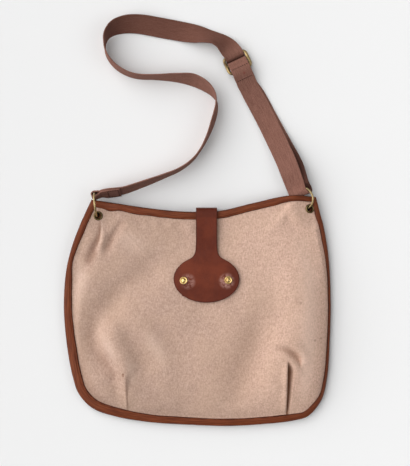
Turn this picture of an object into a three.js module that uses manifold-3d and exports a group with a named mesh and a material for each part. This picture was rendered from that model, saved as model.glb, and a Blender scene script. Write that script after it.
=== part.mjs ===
// A canvas satchel with leather bindings, lying on its back, with its webbing strap laid out above the mouth.
// Millimetres, +Z up. Z = 0 is the surface it lies on, +Y runs from the bag's bottom to its mouth.
import * as THREE from "three";
import { mergeVertices } from "three/addons/utils/BufferGeometryUtils.js";
import Module from "manifold-3d";

const wasm = await Module();
wasm.setup();

// Sheet goods and clearances
const CANVAS = 1.5;
const BINDING_LEATHER = 1.2;
const TAB_LEATHER = 2.2;
const WEBBING = 1.7;
const WEBBING_WIDTH = 25.4;
const CLEAR = 0.4;
const BINDING_CLEAR = 0.75;

// Bag outline seen from above, to the outer edge of the binding
const CENTRE = { x: 2, y: 0 };
const SEAM_POINTS = [
  { x: -134, y: 141.5 },
  { x: -148.3, y: 110.5 },
  { x: -159.9, y: 80 },
  { x: -167, y: 49.5 },
  { x: -169.8, y: 5 },
  { x: -166.1, y: -42 },
  { x: -158.8, y: -82.5 },
  { x: -151, y: -105 },
  { x: -133.5, y: -123.3 },
  { x: -106, y: -133.5 },
  { x: -63, y: -141 },
  { x: -2, y: -145 },
  { x: 39, y: -146.2 },
  { x: 80, y: -144 },
  { x: 120, y: -139.6 },
  { x: 140.3, y: -133.4 },
  { x: 157, y: -113 },
  { x: 165, y: -82.5 },
  { x: 168.3, y: -32 },
  { x: 169.5, y: 9 },
  { x: 166.8, y: 70 },
  { x: 160, y: 110.5 },
  { x: 150.5, y: 145 },
];
const MOUTH_POINTS = [
  { x: 150.5, y: 145 },
  { x: 115, y: 146.3 },
  { x: 69, y: 136.7 },
  { x: 28.6, y: 127.4 },
  { x: -12, y: 126.1 },
  { x: -53, y: 129.5 },
  { x: -98, y: 136 },
  { x: -134, y: 141.5 },
];

// Edge of the bag along the seam, from the left corner of the mouth round to the right one.
// height is the edge's own, tilt in degrees is how far the bound edge is rolled down,
// full is the panel's roundness, binding is the width of the leather strip.
const SEAM_EDGE = [
  { at: 0, height: 12.3, tilt: 2, full: 3.2, binding: 8.8 },
  { at: 0.05, height: 10, tilt: 4, full: 3.2, binding: 9 },
  { at: 0.14, height: 5.8, tilt: 7, full: 3.2, binding: 11 },
  { at: 0.3, height: 4.4, tilt: 9, full: 3.2, binding: 11.5 },
  { at: 0.45, height: 4.6, tilt: 14, full: 4, binding: 10.5 },
  { at: 0.62, height: 5, tilt: 20, full: 4.5, binding: 10.5 },
  { at: 0.71, height: 4.8, tilt: 38, full: 5.5, binding: 10.5 },
  { at: 0.8, height: 4.6, tilt: 62, full: 7, binding: 10.5 },
  { at: 0.87, height: 4.6, tilt: 60, full: 7, binding: 9.8 },
  { at: 0.95, height: 6.6, tilt: 36, full: 6, binding: 8.6 },
  { at: 1, height: 8.6, tilt: 24, full: 6, binding: 8 },
];
// Edges of the mouth, from the right corner to the left one: the front edge stands off the back one.
const MOUTH_EDGE = [
  { at: 0, front: 12, back: 9 },
  { at: 0.06, front: 18, back: 11.5 },
  { at: 0.15, front: 19, back: 11 },
  { at: 0.32, front: 18, back: 7.2 },
  { at: 0.5, front: 17, back: 6.6 },
  { at: 0.7, front: 15.8, back: 6.6 },
  { at: 0.86, front: 14.8, back: 7.6 },
  { at: 0.95, front: 14.6, back: 9 },
  { at: 1, front: 13.2, back: 11.4 },
];
const MOUTH_BINDING = 10;
const MOUTH_BINDING_FROM_CORNER = 34;
const MOUTH_FULL = 5;

// Fullness of the front: its crown, and its height by the mouth
const CROWN = 33;
const MOUTH_CROWN = 18.5;
const CROWN_FROM = 128;
const CROWN_TO = -15;
// Share of the way to the rim over which the back lies flat, and how sharply it then turns up
const BACK_FLAT = 0.74;
const BACK_TURN = 1.4;

// Folds of the front panel: runs of ridge (rise above 0) or trough (below 0), with their half width.
const FOLDS = [
  { x0: -54, y0: 80, x1: -97, y1: 52, width: 14, rise: -2.2 },
  { x0: -97, y0: 52, x1: -125, y1: 21, width: 14, rise: -3 },
  { x0: -128, y0: 14, x1: -146, y1: -34, width: 12, rise: -2.4 },
  { x0: -122, y0: -22, x1: -98, y1: -68, width: 10, rise: 2.6 },
  { x0: -97, y0: -29, x1: -60, y1: -95, width: 12, rise: -2 },
  { x0: 73, y0: -11, x1: 30, y1: -115, width: 17, rise: -2 },
  { x0: 86, y0: -60, x1: 84, y1: -95, width: 15, rise: 1.6 },
  { x0: 101, y0: -43, x1: 130, y1: -62, width: 9, rise: 2.4 },
  { x0: 112.5, y0: -64, x1: 113.7, y1: -124, width: 7, rise: -4 },
  { x0: -91.5, y0: -76, x1: -90.2, y1: -122, width: 7, rise: 1.4 },
  { x0: -124, y0: 102, x1: -127, y1: 76, width: 8, rise: 3 },
  { x0: -112, y0: 96, x1: -113, y1: 78, width: 9, rise: -2.6 },
];

// Edge binding: a strip folded over the panel edges
const EDGE_INSET = 1.7;
const FLANGE = { front: 13, back: 11.8 };
const BINDING_NOSE = { inset: 0.3, turn: 0.55, high: 0.6 };

// Closure tab: a neck and an oval, with the length sewn to the back
const TAB = { x: 11.4, neck: 13.4, ovalY: 41.3, ovalWide: 41.1, ovalHigh: 29.2, backEnd: 90 };
const TAB_OVAL_ENDS = { low: 0.16, high: 2.8 };
const TAB_OVAL_STEPS = 12;
const TAB_NECK_ROWS = [74, 84, 94, 103, 108, 112, 118];
// Over the mouth and down to the back. drop is below the tab's top, z is above the surface that it lies on.
const TAB_OVER_MOUTH = [
  { y: 123.5, drop: 0.2 },
  { y: 127.4, drop: 1.2 },
  { y: 129.4, drop: 3.6 },
];
const TAB_DOWN_BACK = [
  { y: 129.8, z: 13 },
  { y: 129.7, z: 6.5 },
  { y: 128.9, z: 3.2 },
  { y: 126.6, z: 1.5 },
  { y: 122, z: 1.15 },
  { y: TAB.backEnd, z: 1.15 },
];
const TAB_ACROSS = [-1, -0.66, -0.33, 0, 0.33, 0.66, 1];
// The tab climbs over the mouth's binding between these places, and the back lifts to let it lie beneath.
const TAB_CLIMB = { from: 103, to: 112, rise: 2.5 };
const TAB_LIFT = { from: 54, to: 78, near: 38, far: 80, rise: 3.4 };
const STUDS = [
  { side: "left", x: -17.1, y: 39.4 },
  { side: "right", x: 38.7, y: 39.9 },
];
const STUD = { radius: 5, height: 2.9, post: 1.5, lip: 0.5 };
const STUD_SLOPE_SPAN = 4;
const HOLE_PLUG = 40;

// Eyelets and the rings through them. heading points from the eyelet to the strap's loop,
// lean is the ring's own from upright, rise is how far its middle stands above its two ends,
// slope is how far the panels are rolled down there.
const RINGS = [
  { side: "left", x: -126.8, y: 121.6, z: 12.3, heading: 96.5, lean: 0, rise: 3.7, slope: 0 },
  { side: "right", x: 139.2, y: 130.3, z: 14, heading: 119.9, lean: 38, rise: 0, slope: 22 },
];
const ROLL_HEADING = 15;
const RING = { radius: 14.2, wire: 1.4, wireSides: 8, steps: 28 };
const EYELET = { hole: 3.7, barrel: 4.4, flange: 5.9, plate: 0.6, seat: 0.6 };
const PINCH = { flat: 15, reach: 27, spread: 2.6 };

// Three-bar slider
const SLIDER = {
  x: 50.5,
  y: 315.1,
  z: 6,
  pitch: 10.5,
  bar: 2.6,
  thick: 2.4,
  slot: 27,
  side: 3,
  corner: 4,
  cornerSteps: 5,
};

// Free length of the strap from the left ring to the slider.
// lean in degrees is from standing on edge, and above 0 its upper edge falls to the left of its run.
const STRAP_RUN = [
  { x: -81.2, y: 155.8, lean: 17 },
  { x: -61.6, y: 163.7, lean: 14 },
  { x: -42.3, y: 170.8, lean: 9 },
  { x: -22.9, y: 179.1, lean: 6 },
  { x: -6.4, y: 191.1, lean: 3 },
  { x: 4.4, y: 205.1, lean: 2 },
  { x: 13.3, y: 222.3, lean: 6 },
  { x: 19.7, y: 240, lean: 10 },
  { x: 23.5, y: 255.3, lean: 8 },
  { x: 23.9, y: 265.4, lean: 2 },
  { x: 19.7, y: 275, lean: -12 },
  { x: 10.8, y: 283.8, lean: -25 },
  { x: -5.7, y: 292.2, lean: -32 },
  { x: -26, y: 294.9, lean: -20 },
  { x: -54, y: 295.7, lean: -9 },
  { x: -74.3, y: 296.4, lean: -8 },
  { x: -88.9, y: 300.4, lean: -8 },
  { x: -102.2, y: 308.4, lean: -8 },
  { x: -111.6, y: 318.8, lean: -6 },
  { x: -116.2, y: 328.9, lean: -3 },
  { x: -116.8, y: 339.7, lean: 3 },
  { x: -113.7, y: 349.9, lean: 18 },
  { x: -105.4, y: 358.1, lean: 38 },
  { x: -92, y: 362.8, lean: 56 },
  { x: -74.5, y: 363.5, lean: 66 },
  { x: -48.4, y: 359.5, lean: 71 },
  { x: -19.4, y: 354.5, lean: 75 },
  { x: 8.1, y: 349.9, lean: 80 },
];
const STRAP_REST = 0.5;
const LEFT_RUN = { heading: 9, lean: 20, sewnFrom: 25, end: 36 };
const LOOP_WIDTH = 17;
const LOOP_TAPER = 16;
const LOOP_TURN_STEPS = 6;
const SEWN_TAIL = 33;
const PLY_OFFSET = (WEBBING + CLEAR) / 2;
const LOOP_SKEW = 3;
const LOOP_SKEW_FROM = 75;

// Weave through the slider, along the run from the slider (along = 0) to the right ring.
const WEAVE_IN = [
  { along: -24, z: 5.6 },
  { along: -15.5, z: 8.1 },
  { along: -10.5, z: 8.6 },
  { along: -7.4, z: 7.2 },
  { along: -3.4, z: 2.5 },
  { along: 0, z: 1.4 },
  { along: 3.2, z: 2.1 },
  { along: 5.2, z: 4.6 },
  { along: 6.8, z: 7 },
  { along: 8.4, z: 8.3 },
  { along: 10.5, z: 8.6 },
  { along: 14.5, z: 7.8 },
  { along: 22, z: 4.3 },
  { along: 32, z: 1.9 },
];
const WEAVE_BACK = [
  { along: 33, z: 5.4 },
  { along: 23.4, z: 8.7 },
  { along: 15, z: 12.3 },
  { along: 10.2, z: 13 },
  { along: 6.1, z: 12.1 },
  { along: 3.6, z: 10 },
  { along: 1.2, z: 8.9 },
  { along: -1.4, z: 8.4 },
  { along: -2.6, z: 6.6 },
  { along: -2.6, z: 5.2 },
  { along: -1.5, z: 3.8 },
  { along: 0.4, z: 3.5 },
  { along: 2.1, z: 3.9 },
  { along: 3.5, z: 6 },
  { along: 5.2, z: 8.6 },
  { along: 7.2, z: 10.2 },
  { along: 10.3, z: 10.8 },
  { along: 14.8, z: 10.1 },
  { along: 22.7, z: 6.5 },
  { along: 27, z: 5.1 },
];
// The doubled length from the slider to the right ring, along its middle.
const DOUBLE_RUN = [
  { along: 46, z: 2.6, lean: 90 },
  { along: 75, z: 2.5, lean: 90 },
  { along: 100, z: 3.4, lean: 87 },
  { along: 120, z: 5.8, lean: 80 },
  { along: 138, z: 9, lean: 70 },
  { along: 152, z: 12, lean: 60 },
];

// Resolution of the meshes
const SEAM_STEPS = 54;
const MOUTH_STEPS = 22;
const CROWDING = 0.3;
const FRONT_RINGS = [1, 0.95, 0.9, 0.84, 0.76, 0.66, 0.53, 0.36, 0.18];
const BACK_RINGS = [1, 0.94, 0.86, 0.74, 0.45];
const STRAP_SUBDIVISION = 2;
const ROUND_STEPS = 18;

const UP = new THREE.Vector3(0, 0, 1);
const radians = THREE.MathUtils.degToRad;
const vec = (x, y, z) => new THREE.Vector3(x, y, z);
const smooth = (from, to, value) => {
  const t = THREE.MathUtils.clamp((value - from) / (to - from), 0, 1);
  return t * t * (3 - 2 * t);
};
const headingVector = (degrees) => vec(Math.cos(radians(degrees)), Math.sin(radians(degrees)), 0);

// Value of a table's column at a place along it, eased between rows.
function along(rows, at, column) {
  const next = rows.findIndex((row) => row.at >= at);
  if (next <= 0) return rows[Math.max(next, 0)][column];
  const a = rows[next - 1];
  const b = rows[next];
  return a[column] + (b[column] - a[column]) * smooth(a.at, b.at, at);
}

function curveThrough(points) {
  const list = points.map((p) => vec(p.x, p.y, p.z ?? 0));
  return new THREE.CatmullRomCurve3(list, false, "centripetal");
}

// Solids from rings of points

function orient(geometry) {
  const p = geometry.getAttribute("position");
  const index = geometry.index.array;
  const corner = (i) => new THREE.Vector3().fromBufferAttribute(p, index[i]);
  let volume = 0;
  for (let i = 0; i < index.length; i += 3) {
    volume += corner(i).dot(corner(i + 1).cross(corner(i + 2)));
  }
  if (volume < 0) {
    for (let i = 0; i < index.length; i += 3) {
      [index[i + 1], index[i + 2]] = [index[i + 2], index[i + 1]];
    }
  }
  return geometry;
}

// A body through closed rings of equal length. Its ends are closed by the triangles of the end cap.
// Its first few rings are split along the other diagonal, so that both faces of a wall are split alike.
function loft(rings, capTriangles, crossed = 0) {
  const count = rings[0].length;
  const points = rings.flat();
  const index = [];
  for (let r = 0; r < rings.length - 1; r++) {
    for (let k = 0; k < count; k++) {
      const a = r * count + k;
      const b = r * count + ((k + 1) % count);
      if (r < crossed) {
        index.push(a, b, a + count, b, b + count, a + count);
      } else {
        index.push(a, b, b + count, a, b + count, a + count);
      }
    }
  }
  const last = (rings.length - 1) * count;
  for (const [a, b, c] of capTriangles) {
    index.push(a, c, b, last + a, last + b, last + c);
  }
  const geometry = new THREE.BufferGeometry().setFromPoints(points);
  geometry.setIndex(index);
  return orient(geometry);
}

// A flat section of { u, v } points carried through frames of { p, u, v }.
function sweep(frames, sectionAt) {
  const place = (frame, q) => frame.p.clone().addScaledVector(frame.u, q.u).addScaledVector(frame.v, q.v);
  const rings = frames.map((frame) => sectionAt(frame).map((q) => place(frame, q)));
  const flat = sectionAt(frames[0]).map((q) => new THREE.Vector2(q.u, q.v));
  return loft(rings, THREE.ShapeUtils.triangulateShape(flat, []));
}

function solid(geometry) {
  const bare = geometry.clone();
  bare.deleteAttribute("normal");
  bare.deleteAttribute("uv");
  const merged = mergeVertices(bare, 1e-3);
  const mesh = new wasm.Mesh({
    numProp: 3,
    vertProperties: new Float32Array(merged.attributes.position.array),
    triVerts: new Uint32Array(merged.index.array),
  });
  return new wasm.Manifold(mesh);
}

function cutAway(geometry, tools) {
  const cut = tools.reduce((body, tool) => body.subtract(solid(tool)), solid(geometry)).getMesh();
  const result = new THREE.BufferGeometry();
  result.setAttribute("position", new THREE.BufferAttribute(cut.vertProperties, cut.numProp));
  return result.setIndex(new THREE.BufferAttribute(cut.triVerts, 1));
}

// Edge of the bag

const PANEL_OFFSET = (CANVAS + CLEAR) / 2;
const STACK_HALF = PANEL_OFFSET + CANVAS / 2 + BINDING_CLEAR + BINDING_LEATHER;

function edgeStations(points, steps, describe) {
  const curve = curveThrough(points);
  const stations = [];
  for (let i = 0; i <= steps; i++) {
    const even = i / steps;
    const at = even - (CROWDING * Math.sin(2 * Math.PI * even)) / (2 * Math.PI);
    const p = curve.getPointAt(at);
    const t = curve.getTangentAt(at);
    const station = { p, out: vec(t.y, -t.x, 0), ...describe(at) };
    station.edge = p.clone().addScaledVector(station.out, -STACK_HALF * Math.sin(station.tilt));
    stations.push(station);
  }
  return stations;
}

const seamStations = edgeStations(SEAM_POINTS, SEAM_STEPS, (at) => ({
  front: along(SEAM_EDGE, at, "height"),
  back: along(SEAM_EDGE, at, "height"),
  tilt: radians(along(SEAM_EDGE, at, "tilt")),
  full: along(SEAM_EDGE, at, "full"),
  binding: along(SEAM_EDGE, at, "binding"),
}));
const mouthStations = edgeStations(MOUTH_POINTS, MOUTH_STEPS, (at) => ({
  front: along(MOUTH_EDGE, at, "front"),
  back: along(MOUTH_EDGE, at, "back"),
  tilt: 0,
  full: MOUTH_FULL,
  binding: MOUTH_BINDING,
  mouth: true,
}));
const rimStations = [...seamStations, ...mouthStations.slice(1, -1)];

// The eyelets draw both panels together on a small flat, which is rolled down on the right.
function pinched(x, y, height, side) {
  let result = height;
  for (const ring of RINGS) {
    const off = Math.hypot(x - ring.x, y - ring.y);
    const hold = 1 - smooth(PINCH.flat, PINCH.reach + side * PINCH.spread, off);
    const fall = headingVector(ROLL_HEADING).dot(vec(x - ring.x, y - ring.y, 0));
    const slope = radians(ring.slope);
    const flat = ring.z - fall * Math.tan(slope) + (side * PANEL_OFFSET) / Math.cos(slope);
    result += (flat - result) * hold;
  }
  return result;
}

// Height of the bound edge's plane over a point, from the edge beside it.
// side is 1 for the front, -1 for the back and 0 for a strip round both.
function rimHeight(p, stations, layer, side) {
  let nearest = Infinity;
  let height = 0;
  for (let i = 0; i < stations.length - 1; i++) {
    const a = stations[i];
    const b = stations[i + 1];
    const run = b.edge.clone().sub(a.edge);
    const from = vec(p.x, p.y, 0).sub(a.edge);
    const share = THREE.MathUtils.clamp(from.dot(run) / run.lengthSq(), 0, 1);
    const off = from.distanceTo(run.clone().multiplyScalar(share));
    if (off < nearest) {
      nearest = off;
      const tilt = a.tilt + (b.tilt - a.tilt) * share;
      const inward = run.cross(from).length() / a.edge.distanceTo(b.edge);
      const base = a[layer] + (b[layer] - a[layer]) * share;
      height = base + inward * Math.tan(tilt) + (side * PANEL_OFFSET) / Math.cos(tilt);
    }
  }
  return pinched(p.x, p.y, height, side);
}

const edgeOf = (station) => (station.mouth ? mouthStations : seamStations);

// Point of a panel's rim, a distance in from the outer edge measured along the rolled-down cloth.
function rimPoint(station, inward, layer) {
  const side = layer === "front" ? 1 : -1;
  const middle = vec(CENTRE.x, CENTRE.y, 0);
  const reach = station.edge.clone().sub(middle).dot(station.out);
  const toward = side * PANEL_OFFSET * Math.sin(station.tilt) - inward * Math.cos(station.tilt);
  const p = middle.clone().lerp(station.edge, 1 + toward / reach);
  return p.setZ(rimHeight(p, edgeOf(station), layer, side));
}

// Share of the way from the bag's middle to the rim, with the rim's height and roundness on that ray.
function rimShare(x, y, layer) {
  const dx = x - CENTRE.x;
  const dy = y - CENTRE.y;
  const rim = RIMS[layer];
  for (let i = 0; i < rim.length; i++) {
    const a = rim[i];
    const b = rim[(i + 1) % rim.length];
    const across = (a.x - b.x) * dy - (a.y - b.y) * dx;
    const k = ((a.x - CENTRE.x) * dy - (a.y - CENTRE.y) * dx) / across;
    const px = a.x + (b.x - a.x) * k - CENTRE.x;
    const py = a.y + (b.y - a.y) * k - CENTRE.y;
    if (k >= 0 && k <= 1 && px * dx + py * dy > 0) {
      const share = Math.hypot(dx, dy) / Math.hypot(px, py);
      return { share, height: a.z + (b.z - a.z) * k, full: a.full + (b.full - a.full) * k };
    }
  }
  return { share: 0, height: rim[0].z, full: rim[0].full };
}

const RIMS = {};
for (const layer of ["front", "back"]) {
  RIMS[layer] = rimStations.map((station) => {
    const p = rimPoint(station, FLANGE[layer], layer);
    return { x: p.x, y: p.y, z: p.z, full: station.full };
  });
}

function foldRise(x, y) {
  let rise = 0;
  for (const fold of FOLDS) {
    const run = new THREE.Line3(vec(fold.x0, fold.y0, 0), vec(fold.x1, fold.y1, 0));
    const near = run.closestPointToPoint(vec(x, y, 0), true, new THREE.Vector3());
    const off = Math.hypot(x - near.x, y - near.y) / fold.width;
    rise += fold.rise * Math.exp(-off * off);
  }
  return rise;
}

function frontHeight(x, y) {
  const rim = rimShare(x, y, "front");
  const crown = MOUTH_CROWN + (CROWN - MOUTH_CROWN) * (1 - smooth(CROWN_TO, CROWN_FROM, y));
  const swell = 1 - rim.share ** rim.full;
  const height = rim.height + (crown - rim.height) * swell + foldRise(x, y) * Math.min(1, 2 * swell);
  return pinched(x, y, height, 1);
}

function backHeight(x, y) {
  const rim = rimShare(x, y, "back");
  const floor = CANVAS / 2;
  const beside = 1 - smooth(TAB_LIFT.near, TAB_LIFT.far, Math.abs(x - TAB.x));
  const lifted = floor + TAB_LIFT.rise * smooth(TAB_LIFT.from, TAB_LIFT.to, y) * beside;
  const rolled = Math.max(0, (rim.share - BACK_FLAT) / (1 - BACK_FLAT)) ** BACK_TURN;
  const height = lifted + (rim.height - lifted) * rolled;
  return pinched(x, y, height, -1);
}

// Canvas panels

function panelGeometry(layer, shares, heightAt) {
  const edge = rimStations.map((station) => rimPoint(station, EDGE_INSET, layer));
  const middles = [edge, RIMS[layer].map((p) => vec(p.x, p.y, p.z))];
  for (const share of shares.slice(1)) {
    middles.push(
      RIMS[layer].map((p) => {
        const x = CENTRE.x + (p.x - CENTRE.x) * share;
        const y = CENTRE.y + (p.y - CENTRE.y) * share;
        return vec(x, y, heightAt(x, y));
      }),
    );
  }
  const count = rimStations.length;
  const face = (side) =>
    middles.map((ring, r) =>
      ring.map((p, k) => {
        const around = ring[(k + 1) % count].clone().sub(ring[(k + count - 1) % count]);
        const outer = middles[Math.max(r - 1, 0)][k];
        const inner = middles[Math.min(r + 1, middles.length - 1)][k];
        const normal = around.cross(inner.clone().sub(outer)).normalize();
        return p.clone().addScaledVector(normal, (side * CANVAS) / 2);
      }),
    );
  const rings = [...face(1).reverse(), ...face(-1)];
  const fan = [];
  for (let k = 1; k < count - 1; k++) {
    fan.push([0, k, k + 1]);
  }
  return loft(rings, fan, middles.length);
}

// Leather bindings

// Folded strip of a given width around a stack of half thickness half, lying from the edge inwards.
function foldedStrip(half, width) {
  const outer = half + BINDING_LEATHER;
  const turn = outer * BINDING_NOSE.turn;
  const high = outer * BINDING_NOSE.high;
  const nose = BINDING_NOSE.inset;
  const inner = EDGE_INSET - CLEAR;
  return [
    { u: width, v: outer },
    { u: turn, v: outer },
    { u: nose, v: high },
    { u: nose, v: -high },
    { u: turn, v: -outer },
    { u: width, v: -outer },
    { u: width, v: -half },
    { u: inner, v: -half },
    { u: inner, v: half },
    { u: width, v: half },
  ];
}

function bindingStrip(stations, layer, half, side) {
  const lines = [0, 1].map((share) =>
    stations.map((s) => {
      const p = s.edge.clone().addScaledVector(s.out, -share * s.binding * Math.cos(s.tilt));
      return p.setZ(rimHeight(p, edgeOf(s), layer, side));
    }),
  );
  const [edge, inside] = lines;
  const last = edge.length - 1;
  const frames = stations.map((s, i) => {
    const run = edge[Math.min(i + 1, last)].clone().sub(edge[Math.max(i - 1, 0)]).normalize();
    const inward = inside[i].clone().sub(edge[i]).normalize();
    const face = inward.clone().cross(run).normalize();
    return { p: edge[i], u: inward, v: face, width: s.binding };
  });
  return sweep(frames, (frame) => foldedStrip(half, frame.width));
}

function seamBinding() {
  return bindingStrip(seamStations, "front", STACK_HALF - BINDING_LEATHER, 0);
}

function mouthBinding(layer) {
  const ends = [mouthStations[0].p, mouthStations[MOUTH_STEPS].p];
  const clear = (s) => ends.every((end) => s.p.distanceTo(end) > MOUTH_BINDING_FROM_CORNER);
  const side = layer === "front" ? 1 : -1;
  return bindingStrip(mouthStations.filter(clear), layer, CANVAS / 2 + BINDING_CLEAR, side);
}

// Closure tab

function tabHalfWidth(y) {
  const off = (y - TAB.ovalY) / TAB.ovalHigh;
  const oval = Math.abs(off) < 1 ? TAB.ovalWide * Math.sqrt(1 - off * off) : 0;
  return y > TAB.ovalY ? Math.max(oval, TAB.neck) : oval;
}

const TAB_SEAT = CANVAS / 2 + 2 * CLEAR + TAB_LEATHER / 2;

function tabFrontHeight(x, y) {
  return frontHeight(x, y) + TAB_SEAT + TAB_CLIMB.rise * smooth(TAB_CLIMB.from, TAB_CLIMB.to, y);
}

// The tab's length: up the front, over both edges of the mouth, and down the back.
function closureTab() {
  const stations = [];
  for (let i = 0; i <= TAB_OVAL_STEPS; i++) {
    const turn = THREE.MathUtils.lerp(TAB_OVAL_ENDS.low, TAB_OVAL_ENDS.high, i / TAB_OVAL_STEPS);
    stations.push({ y: TAB.ovalY - TAB.ovalHigh * Math.cos(turn), front: true });
  }
  stations.push(...TAB_NECK_ROWS.map((y) => ({ y, front: true })));
  const top = tabFrontHeight(TAB.x, TAB_NECK_ROWS.at(-1));
  stations.push(...TAB_OVER_MOUTH.map((row) => ({ y: row.y, z: top - row.drop })), ...TAB_DOWN_BACK);
  const middles = stations.map((s) =>
    TAB_ACROSS.map((share) => {
      const x = TAB.x + share * (s.front ? tabHalfWidth(s.y) : TAB.neck);
      return vec(x, s.y, s.front ? tabFrontHeight(x, s.y) : s.z);
    }),
  );
  const lastColumn = TAB_ACROSS.length - 1;
  const rings = middles.map((row, i) => {
    const before = middles[Math.max(i - 1, 0)];
    const after = middles[Math.min(i + 1, middles.length - 1)];
    const face = (side) =>
      row.map((p, k) => {
        const lengthways = after[lastColumn / 2].clone().sub(before[lastColumn / 2]);
        const sideways = row[Math.min(k + 1, lastColumn)].clone().sub(row[Math.max(k - 1, 0)]);
        return p.clone().addScaledVector(sideways.cross(lengthways).normalize(), (side * TAB_LEATHER) / 2);
      });
    return [...face(1), ...face(-1).reverse()];
  });
  const caps = [];
  for (let k = 0; k < lastColumn; k++) {
    const under = 2 * lastColumn + 1 - k;
    caps.push([k, k + 1, under], [k + 1, under - 1, under]);
  }
  return loft(rings, caps);
}

function studPlace(stud) {
  const top = vec(stud.x, stud.y, tabFrontHeight(stud.x, stud.y));
  const step = STUD_SLOPE_SPAN;
  const dx = tabFrontHeight(stud.x + step, stud.y) - tabFrontHeight(stud.x - step, stud.y);
  const dy = tabFrontHeight(stud.x, stud.y + step) - tabFrontHeight(stud.x, stud.y - step);
  const normal = vec(-dx / (2 * step), -dy / (2 * step), 1).normalize();
  return { p: top, turn: new THREE.Quaternion().setFromUnitVectors(UP, normal) };
}

function studGeometry() {
  const seat = TAB_LEATHER / 2 + CLEAR;
  const profile = [
    [0, -seat + CLEAR],
    [STUD.post, -seat + CLEAR],
    [STUD.post, seat],
    [STUD.radius - STUD.lip, seat],
    [STUD.radius, seat + STUD.lip],
    [STUD.radius * 0.86, seat + STUD.height * 0.55],
    [STUD.radius * 0.5, seat + STUD.height * 0.92],
    [0, seat + STUD.height],
  ];
  const points = profile.map(([r, z]) => new THREE.Vector2(r, z));
  return new THREE.LatheGeometry(points, ROUND_STEPS).rotateX(Math.PI / 2);
}

// Eyelets and rings

function eyeletTurn(ring) {
  const fall = headingVector(ROLL_HEADING);
  const slope = radians(ring.slope);
  const normal = fall.multiplyScalar(Math.sin(slope)).addScaledVector(UP, Math.cos(slope));
  return new THREE.Quaternion().setFromUnitVectors(UP, normal);
}

function eyeletGeometry() {
  const seat = PANEL_OFFSET + CANVAS / 2 + EYELET.seat;
  const top = seat + EYELET.plate;
  const profile = [
    [EYELET.hole, -top],
    [EYELET.flange, -top],
    [EYELET.flange, -seat],
    [EYELET.barrel, -seat],
    [EYELET.barrel, seat],
    [EYELET.flange, seat],
    [EYELET.flange, top],
    [EYELET.hole, top],
    [EYELET.hole, -top],
  ];
  const points = profile.map(([r, z]) => new THREE.Vector2(r, z));
  return new THREE.LatheGeometry(points, ROUND_STEPS).rotateX(Math.PI / 2);
}

function ringFrame(ring) {
  const toward = headingVector(ring.heading);
  const lean = radians(ring.lean);
  const beside = headingVector(ring.heading - 90);
  const upward = beside.multiplyScalar(Math.sin(lean)).addScaledVector(UP, Math.cos(lean));
  const half = Math.sqrt(RING.radius ** 2 - ring.rise ** 2);
  const eyelet = vec(ring.x, ring.y, ring.z);
  const middle = eyelet.clone().addScaledVector(toward, half).addScaledVector(upward, ring.rise);
  const loop = eyelet.clone().addScaledVector(toward, 2 * half);
  const outward = loop.clone().sub(middle).normalize();
  const axis = toward.clone().cross(upward);
  return { toward, upward, middle, loop, outward, axis, wireRun: axis.clone().cross(outward) };
}

function ringMesh(ring) {
  const frame = ringFrame(ring);
  const geometry = new THREE.TorusGeometry(RING.radius, RING.wire, RING.wireSides, RING.steps);
  const turn = new THREE.Matrix4().makeBasis(frame.toward, frame.upward, frame.axis);
  return geometry.applyMatrix4(turn.setPosition(frame.middle));
}

// Strap

// A station of the strap: its middle, its direction across, its width there.
const strapStation = (p, across, width) => ({ p, across, width });

function leaned(run, degrees) {
  const left = UP.clone().cross(run).normalize();
  const lean = radians(degrees);
  return left.multiplyScalar(Math.sin(lean)).addScaledVector(UP, Math.cos(lean));
}

function restHeight(degrees) {
  const lean = radians(degrees);
  const half = (WEBBING_WIDTH / 2) * Math.cos(lean) + (WEBBING / 2) * Math.abs(Math.sin(lean));
  return STRAP_REST + half;
}

// The turn round a ring's wire, from the face below the run to the face above it.
function ringLoop(ring, away, skew) {
  const frame = ringFrame(ring);
  const across = frame.wireRun.clone().addScaledVector(away, -frame.wireRun.dot(away)).normalize();
  const face = across.clone().cross(away);
  const half = LOOP_WIDTH / 2;
  const sag = RING.radius - Math.sqrt(RING.radius ** 2 - half ** 2);
  const drift = -sag * frame.outward.dot(face);
  const start = -sag * Math.max(frame.outward.dot(away), 0);
  const radius = Math.abs(drift) / 2 + RING.wire + CLEAR + WEBBING / 2;
  const at = (along, off, side) => {
    const p = frame.loop.clone().addScaledVector(away, along);
    return p.addScaledVector(face, off).addScaledVector(across, side);
  };
  const stations = [];
  for (let i = 0; i <= LOOP_TURN_STEPS; i++) {
    const turn = radians(-90 - (180 * i) / LOOP_TURN_STEPS);
    const off = drift / 2 + radius * Math.sin(turn);
    const side = skew * (1 - i / LOOP_TURN_STEPS);
    stations.push(strapStation(at(start + radius * Math.cos(turn), off, side), across, LOOP_WIDTH));
  }
  const taper = (sign, side) =>
    [0.5, 1].map((share) => {
      const wide = drift / 2 + sign * radius;
      const off = wide + (sign * PLY_OFFSET - wide) * smooth(0, 1, share);
      const width = LOOP_WIDTH + (WEBBING_WIDTH - LOOP_WIDTH) * 0.5 * share;
      return strapStation(at(start + LOOP_TAPER * share, off, side), across, width);
    });
  return [...taper(-1, skew).reverse(), ...stations, ...taper(1, 0)];
}

function leftEnd() {
  const away = headingVector(LEFT_RUN.heading);
  const loop = ringLoop(RINGS[0], away, 0);
  const start = ringFrame(RINGS[0]).loop;
  const across = leaned(away, LEFT_RUN.lean);
  const face = across.clone().cross(away);
  const beside = (along, off) => {
    const p = start.clone().addScaledVector(away, along).addScaledVector(face, off);
    p.z = restHeight(LEFT_RUN.lean) + off * face.z;
    return strapStation(p, across, WEBBING_WIDTH);
  };
  const tail = [SEWN_TAIL, LEFT_RUN.sewnFrom].map((along) => beside(along, -PLY_OFFSET));
  const main = [LEFT_RUN.sewnFrom, LEFT_RUN.end].map((along) => beside(along, PLY_OFFSET));
  return [...tail, ...loop, ...main];
}

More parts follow.
